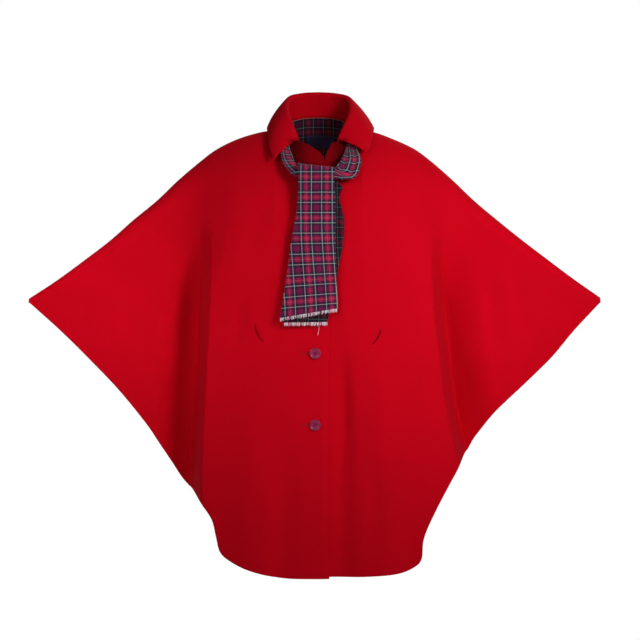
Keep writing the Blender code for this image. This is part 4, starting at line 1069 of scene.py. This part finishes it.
def placket_frame(across, height):
    """The right front's point at a place, and the directions across, up and out of it there."""
    step = 0.009
    depth = front_depth("right", np.full(3, across), height + step * np.array([0.0, 1.0, -1.0]))
    up = unit(np.array([0.0, depth[1] - depth[2], 2 * step]))
    side = np.array([1.0, 0.0, 0.0])
    foremost = min(depth[0], (depth[1] + depth[2]) / 2)
    return np.array([across, foremost, height]), np.array([side, up, np.cross(side, up)])


button_points, button_faces = button_turned()
crimson_plastic = button_plastic("button_plastic")
crimson_thread = sewing_thread("crimson_thread", (0.30, 0.004, 0.03))
thread_paths = []
edging_paths = []
for number, height in enumerate(BUTTON_HEIGHTS, start=1):
    place_on, directions = placket_frame(BUTTON_X, height)
    seat = place_on + directions[2] * BUTTON_SEAT
    button = put(
        f"button_{number}_turned", seat + button_points @ directions, button_faces, crimson_plastic, "button",
        [f"button_{number}"],
    )
    button.data.set_sharp_from_angle(angle=np.radians(40))
    share = np.linspace(0, 1, SEWING_STEPS)
    level = THREAD_LEVEL + THREAD_RISE * np.sin(np.pi * share) - THREAD_SINK * (np.abs(share - 0.5) > 0.45)
    for column in (-1, 1):
        for beside in (-THREAD_SPACING, 0.0, THREAD_SPACING):
            over = np.full(SEWING_STEPS, column * HOLE_SPACING / 2 + beside)
            path = np.stack([over, (share - 0.5) * HOLE_SPACING, level], axis=-1)
            thread_paths.append(seat + path @ directions)
    turn = np.linspace(0, 2 * np.pi, SLOT_STITCHES, endpoint=False)
    slot_x = SLOT_MIDDLE + np.clip(np.cos(turn) * 1.6, -1, 1) * SLOT_HALF_LENGTH
    slot_up = np.sin(turn) * SLOT_HALF_WIDTH
    sideways = np.where(np.abs(np.cos(turn)) > 0.97, np.sign(np.cos(turn)), 0)
    lean = np.stack([sideways, np.sign(np.sin(turn)) + 0.0], axis=-1)
    lean = unit(lean + 1e-9)
    outwards = np.linspace(0, 1, 4)[None, :]
    local_x = slot_x[:, None] + lean[:, :1] * STITCH_LENGTH * outwards
    local_up = slot_up[:, None] + lean[:, 1:] * STITCH_LENGTH * outwards
    across = BUTTON_X + local_x
    upward = height + local_up
    out = front_depth("right", across, upward) - 0.00015 - 0.00028 * np.sin(np.pi * outwards)
    edging_paths.append(np.stack([across, out, upward], axis=-1))
points, faces = tubes(np.array(thread_paths), 0.00019, 6)
put("button_thread", points, faces, crimson_thread, "button")
points, faces = tubes(np.concatenate(edging_paths), 0.00021, 5)
put("buttonhole_edging", points, faces, crimson_thread, "wool")


# The scarf round the neck
# The cape's own scarf of light plaid wool. From the nape it lies between the collar's stand and its fall,
# comes out under each point of the collar, and crosses at the throat under the hanging end.
SCARF = 0.0022
SCARF_INSIDE_COLLAR = 4
SCARF_SPREAD = 1.45
SCARF_PLACE = 0.340
# Columns: middle (x, y, z), then the vector to its upper edge
SCARF_DROP = {
    "right": (
        (-0.0590, -0.0650, -0.0375, 0.0070, 0.0095, 0.0055),
        (-0.0545, -0.0835, -0.0555, 0.0085, 0.0085, 0.0045),
        (-0.0475, -0.1010, -0.0690, 0.0070, 0.0065, 0.0055),
        (-0.0420, -0.1125, -0.0780, 0.0030, 0.0020, 0.0070),
        (-0.0350, -0.1145, -0.0810, 0.0010, 0.0000, 0.0075),
        (-0.0180, -0.1150, -0.0825, 0.0000, 0.0000, 0.0080),
        (-0.0020, -0.1155, -0.0835, 0.0000, 0.0000, 0.0080),
    ),
    "left": (
        (0.0610, -0.0660, -0.0370, -0.0100, 0.0070, 0.0050),
        (0.0615, -0.0850, -0.0500, -0.0140, 0.0060, 0.0040),
        (0.0580, -0.0990, -0.0650, -0.0165, 0.0040, 0.0055),
        (0.0510, -0.1090, -0.0790, -0.0165, 0.0020, 0.0090),
        (0.0400, -0.1140, -0.0835, -0.0080, 0.0000, 0.0100),
        (0.0180, -0.1150, -0.0825, 0.0000, 0.0000, 0.0080),
        (0.0020, -0.1155, -0.0835, 0.0000, 0.0000, 0.0080),
    ),
}
# Pleats along each stretch. Columns: how many across, depth
SCARF_PLEATS = {"right": (1.0, 0.0008), "left": (2.1, 0.0014)}


def scarf_stretch(side, stations=141, across=31):
    """Middle of the scarf beside the neck: between the collar's stand and fall, then down to the knot.

    Each station is a straight line across; pleats along the stretch lift it by a sine of the share across,
    and grow where it comes out from under the collar.
    """
    guide = collar_middle(35, (0.0, 0.33, 0.67), (180, 140, 100, 60, 20), (0.22, 0.44, 0.66, 0.86, 1.0))
    half = len(guide) // 2
    inside = slice(half, -SCARF_INSIDE_COLLAR - 1)
    if side == "right":
        inside = slice(half, SCARF_INSIDE_COLLAR, -1)
    upper = guide[inside, 2] + (guide[inside, 8] - guide[inside, 2]) * SCARF_PLACE
    lower = guide[inside, 1] + (guide[inside, 9] - guide[inside, 1]) * SCARF_PLACE
    held = np.concatenate([(upper + lower) / 2, (upper - lower) / 2 * SCARF_SPREAD], axis=1)
    rows = np.concatenate([held[::2], np.array(SCARF_DROP[side])]).T
    knots = np.arange(rows.shape[1])
    at = np.linspace(0, knots[-1], stations)
    centre = np.stack([through(at, knots, column) for column in rows[:3]], axis=-1)
    rise = np.stack([through(at, knots, column) for column in rows[3:]], axis=-1)
    share = np.linspace(-1, 1, across)
    flat = centre[:, None] + rise[:, None] * share[None, :, None]
    flat[0, :, 0] += 0.0003 if side == "left" else -0.0003
    pleats, depth = SCARF_PLEATS[side]
    shown = ease((at - len(held[::2]) + 1.5) / 2)[:, None] * (1 - ease((at - knots[-1] + 2.2) / 1.2))[:, None]
    wave = depth * np.sin(np.pi * pleats * (share + 1) + 0.5 + at[:, None] * 0.35) * shown
    return flat + grid_normals(flat) * wave[..., None]


scarf_plaid = plaid("scarf_plaid", 1.00, 0.86, 0.6)
# Columns: side, shift of the plaid across, the same along, cloth area
STRETCHES = (("right", 0.0110, 0.006, 0.0065), ("left", 0.0150, 0.012, 0.0080))
for side, phase_across, phase_along, cut_area in STRETCHES:
    middle = scarf_stretch(side)
    normals = grid_normals(middle)
    laid = measured(middle)[..., ::-1] + np.array([phase_across, phase_along])
    stretch = shell(
        side + "_scarf_neck_cloth", *faces_about(middle, normals, SCARF), scarf_plaid, "plaid",
        [side + "_scarf_neck"], rounding=(0, 0, 1, 1), laid=laid,
    )


# The hanging ends of the scarf
# Both ends hang down the front over the placket. The front one is folded over the crossing and hides it; the
# rear one shows beside it and below it, a little rougher and darkened by painted shade. Along their sides
# the cloth rolls a little; each foot is frayed. Columns: depth, height, left x, right x
TAIL_FRONT = (
    (-0.1055, -0.0850, -0.035, 0.029), (-0.1070, -0.0750, -0.036, 0.030), (-0.1130, -0.0700, -0.036, 0.031),
    (-0.1205, -0.0730, -0.036, 0.030), (-0.1260, -0.0900, -0.034, 0.028), (-0.1330, -0.1375, -0.036, 0.030),
    (-0.1385, -0.1740, -0.042, 0.030), (-0.1420, -0.2090, -0.048, 0.030), (-0.1440, -0.2490, -0.053, 0.031),
    (-0.1450, -0.2880, -0.059, 0.032), (-0.1455, -0.3300, -0.067, 0.034),
)
TAIL_REAR = (
    (-0.1055, -0.0861, -0.025, 0.028), (-0.1060, -0.1020, -0.028, 0.043), (-0.1130, -0.1210, -0.028, 0.037),
    (-0.1190, -0.1430, -0.029, 0.042), (-0.1245, -0.1670, -0.030, 0.046), (-0.1310, -0.2050, -0.034, 0.044),
    (-0.1365, -0.2450, -0.040, 0.036), (-0.1385, -0.2850, -0.048, 0.029), (-0.1390, -0.3460, -0.060, 0.016),
)
# The rows over which the slant of a fold goes, counted from the start of the end's table
FOLD_ROWS = 6.0


def hanging_end(table, slant, stations=181, across=61):
    """Middle of a hanging end: lines between its edges that slant as its fold and its foot do, and its own
    waves.

    Three slow waves run down the cloth and fade out at the knot; the sides roll back by the sixth power of
    their distance from the middle.
    """
    knots = np.arange(len(table))
    at = np.linspace(0, len(table) - 1, stations)
    depth, height, left, right = (through(at, knots, column) for column in columns_of(table))
    share = np.linspace(0, 1, across)
    x = left[:, None] + (right - left)[:, None] * share
    tilt = slant[0] * (1 - ease(at / FOLD_ROWS)) + slant[1] * ease(at / knots[-1])
    z = height[:, None] + tilt[:, None] * (share - 0.5)
    free = ease((at - 3.6) / 2.0)[:, None]
    wave = 0.0007 * np.sin(2 * np.pi * (share * 1.6 + 0.12 * at[:, None]))
    wave = wave + 0.0005 * np.sin(9 * share - 1.4 * at[:, None])
    near_fold = (ease((at - 2.2) / 1.0) * (1 - ease((at - 3.6) / 2.4)))[:, None]
    gather = 0.0005 * np.sin(2 * np.pi * share * 5 + 0.6) * near_fold
    roll = 0.0016 * np.abs(2 * share - 1) ** 6
    return np.stack([x, depth[:, None] + (wave + roll) * free + gather, z], axis=-1)


def thread_lines(middle, line_x, line_z, swing, tilt):
    """UV map in metres whose lines run down and across the cloth.

    u is measured from one line, which swings aside towards the foot; v is the distance down the middle, less
    the lines' tilt towards the foot.
    """
    down = -middle[..., 2]
    lower = ease((down - 0.17) / 0.17)
    along = measured(middle)[..., 0][:, middle.shape[1] // 2]
    centre = middle[:, middle.shape[1] // 2]
    start = np.interp(-line_z, -centre[np.argmax(centre[:, 2]):, 2], along[np.argmax(centre[:, 2]):])
    from_centre = middle[..., 0] - centre[:, None, 0]
    v = (along - start)[:, None] - (middle[..., 2] - centre[:, None, 2]) + tilt * lower * from_centre
    return np.stack([middle[..., 0] - line_x - swing * lower, v], axis=-1)


FRINGE_LENGTH = 0.0062
FRINGE_STRANDS = 150


def frayed_wool(name):
    """Loose ends of the scarf's wool: pink and white in turn along the edge, by noise of the place across."""
    material, tree, shader = new_material(name, Roughness=0.9, Sheen_Weight=0.3)
    place = add(tree, "ShaderNodeTexCoord").outputs["Object"]
    sections = add(tree, "ShaderNodeMapping", Vector=place)
    sections.inputs["Scale"].default_value = (1.0, 0.0, 0.0)
    change = add(tree, "ShaderNodeTexNoise", Vector=sections.outputs[0], Scale=110.0, Detail=2.0)
    # Columns: share, red, green, blue
    tones = (
        (0.34, 0.74, 0.16, 0.32), (0.44, 0.92, 0.42, 0.58),
        (0.50, 0.94, 0.84, 0.92), (0.64, 0.92, 0.92, 0.96),
    )
    ramp = colour_ramp(tree, change.outputs["Fac"], tones)
    tree.links.new(ramp.outputs["Color"], shader.inputs["Base Color"])
    grain = add(tree, "ShaderNodeTexNoise", Vector=place, Scale=2400.0, Detail=2.0)
    bump = add(tree, "ShaderNodeBump", Strength=0.5, Distance=0.0002, Height=grain.outputs["Fac"])
    tree.links.new(bump.outputs[0], shader.inputs["Normal"])
    return material


def fringe_strands(foot, seed):
    """Short loose threads below a frayed foot: each leaves the cloth's edge, leans and bends by its own
    amount.
    """
    chance = np.random.default_rng(seed)
    share = np.sort(chance.uniform(0.004, 0.996, FRINGE_STRANDS))
    along = np.linspace(0, 1, len(foot))
    root = np.stack([np.interp(share, along, column) for column in foot.T], axis=-1)
    length = FRINGE_LENGTH * chance.uniform(0.72, 1.12, FRINGE_STRANDS)
    lean = chance.normal(0, 0.13, (FRINGE_STRANDS, 2)) * np.array([1.0, 0.6])
    bend = chance.normal(0, 0.00035, (FRINGE_STRANDS, 2)) * np.array([1.0, 0.7])
    down = np.linspace(-0.12, 1, 7)[None, :]
    x = root[:, :1] + lean[:, :1] * length[:, None] * down + bend[:, :1] * np.sin(3 * down)
    y = root[:, 1:2] + chance.uniform(-0.0007, 0.0007, (FRINGE_STRANDS, 1))
    y = y + lean[:, 1:] * length[:, None] * down + bend[:, 1:] * np.sin(3 * down)
    z = root[:, 2:] - length[:, None] * down
    radius = 0.00042 * (1 - 0.45 * np.clip(down, 0, 1) ** 2)
    return tubes(np.stack([x, y, z], axis=-1), np.broadcast_to(radius, x.shape), 5)


pale_wool = frayed_wool("frayed_wool")
# Columns: name, table, rise of the right edge over the left at the fold and at the foot, x and z of one white
# line, how far it swings, tilt of the level lines, the cut's width and length, its area, seed of its loose
# threads
TAILS = (
    (
        "scarf_tail_front", TAIL_FRONT, (-0.013, 0.017), -0.0114, -0.1715, 0.009, 0.10,
        (0.106, 0.300), 0.0228, 7,
    ),
    (
        "scarf_tail_rear", TAIL_REAR, (-0.012, 0.001), 0.0160, -0.1790, 0.004, -0.03,
        (0.100, 0.290), 0.0208, 11,
    ),
)
# The rear end's plaid, darkened to about a quarter by painted shade
rear_plaid_painted_shade = plaid("scarf_rear_plaid_painted_shade", 0.26, 0.90, 0.6)
for name, table, slant, line_x, line_z, swing, tilt, cut, cut_area, seed in TAILS:
    middle = hanging_end(table, slant)
    normals = grid_normals(middle)
    laid = thread_lines(middle, line_x, line_z, swing, tilt)
    tail = shell(
        name + "_cloth", *faces_about(middle, normals, SCARF),
        scarf_plaid if name == "scarf_tail_front" else rear_plaid_painted_shade, "plaid", [name],
        rounding=(1, 0, 1, 1), laid=laid,
    )
    points, faces = fringe_strands(middle[-1], seed)
    fringe = put(name + "_threads", points, faces, pale_wool, "fringe", [name + "_fringe"])


# One loose thread hangs a little below the rear end's foot
share = np.linspace(0, 1, 25)
STRAY_PLACE = (0.0008, -0.1392, -0.3470)
STRAY_LENGTH = 0.0215
STRAY_SWING = 0.0012
stray = np.array(STRAY_PLACE) + np.stack(
    [STRAY_SWING * np.sin(4.2 * share), 0 * share, -STRAY_LENGTH * share], axis=-1
)
points, faces = tubes(stray[None], 0.00035, 6)
put("stray_thread", points, faces, pale_wool, "fringe")


# The studio
# A pale round floor well below the cape, soft lights from the front, left and back, narrower ones on the
# chest and on each wing, and a plain white surround. The camera looks level from six metres.
FLOOR_HEIGHT = -1.30
FLOOR_RADIUS = 3.6
turn = np.linspace(0, 2 * np.pi, 96, endpoint=False)
rim = np.stack([FLOOR_RADIUS * np.cos(turn), FLOOR_RADIUS * np.sin(turn), np.full(96, FLOOR_HEIGHT)], axis=-1)
floor_mesh = bpy.data.meshes.new("studio_floor")
floor_mesh.from_pydata(rim.tolist(), [], [list(range(96))])
floor_paint = new_material(
    "floor_paint", Base_Color=(0.82, 0.82, 0.82, 1), Roughness=0.9,
    Emission_Color=(1, 1, 1, 1), Emission_Strength=0.22,
)
floor_mesh.materials.append(floor_paint[0])
floor = bpy.data.objects.new("studio_floor", floor_mesh)
bpy.context.scene.collection.objects.link(floor)

surround = bpy.data.worlds.new("surround")
surround.use_nodes = True
sky = surround.node_tree
seen = sky.nodes["Background"]
seen.inputs["Color"].default_value = (1, 1, 1, 1)
seen.inputs["Strength"].default_value = 1.0
lit = add(sky, "ShaderNodeBackground", Color=(1, 1, 1, 1), Strength=0.12)
which = add(sky, "ShaderNodeMixShader", i0=add(sky, "ShaderNodeLightPath").outputs["Is Camera Ray"])
sky.links.new(lit.outputs[0], which.inputs[1])
sky.links.new(seen.outputs[0], which.inputs[2])
sky.links.new(which.outputs[0], sky.nodes["World Output"].inputs["Surface"])
bpy.context.scene.world = surround
bpy.context.scene.view_settings.view_transform = "Standard"

# Columns: name, place, point it is aimed at, width, watts, spread in degrees
LIGHTS = (
    ("front_light", (0.30, -2.40, 2.00), (0.00, 0.00, -0.30), 0.8, 1.6, 180),
    ("fill_light", (-2.10, -1.80, 0.80), (0.00, 0.00, -0.30), 1.4, 1.2, 180),
    ("back_light", (0.50, 3.00, 1.60), (0.00, 0.00, -0.30), 1.6, 50.0, 180),
    ("side_light", (1.20, -1.60, 0.50), (0.16, 0.00, -0.18), 0.7, 2.3, 50),
    ("chest_light", (-0.80, -2.40, 0.30), (0.17, 0.00, -0.50), 0.5, 0.19, 20),
    ("left_wing_light", (-0.95, -1.75, 0.40), (-0.44, 0.00, -0.28), 0.4, 0.42, 22),
    ("right_wing_light", (-0.30, -2.20, 0.50), (0.42, 0.00, -0.28), 0.4, 0.26, 22),
)
for name, place, aim, width, watts, spread in LIGHTS:
    data = bpy.data.lights.new(name, "AREA")
    data.size = width
    data.energy = watts
    data.spread = np.radians(spread)
    lamp = bpy.data.objects.new(name, data)
    lamp.location = place
    toward = np.array(aim) - np.array(place)
    tilt = np.arccos(-toward[2] / np.linalg.norm(toward))
    lamp.rotation_euler = (tilt, 0, np.arctan2(toward[1], toward[0]) - np.pi / 2)
    bpy.context.scene.collection.objects.link(lamp)

camera_data = bpy.data.cameras.new("camera")
camera_data.sensor_width = 36.0
camera_data.lens = 187.5
camera = bpy.data.objects.new("camera", camera_data)
camera.location = (0.0036, -6.0, -0.342)
camera.rotation_euler = (np.pi / 2, 0, 0)
bpy.context.scene.collection.objects.link(camera)
bpy.context.scene.camera = camera
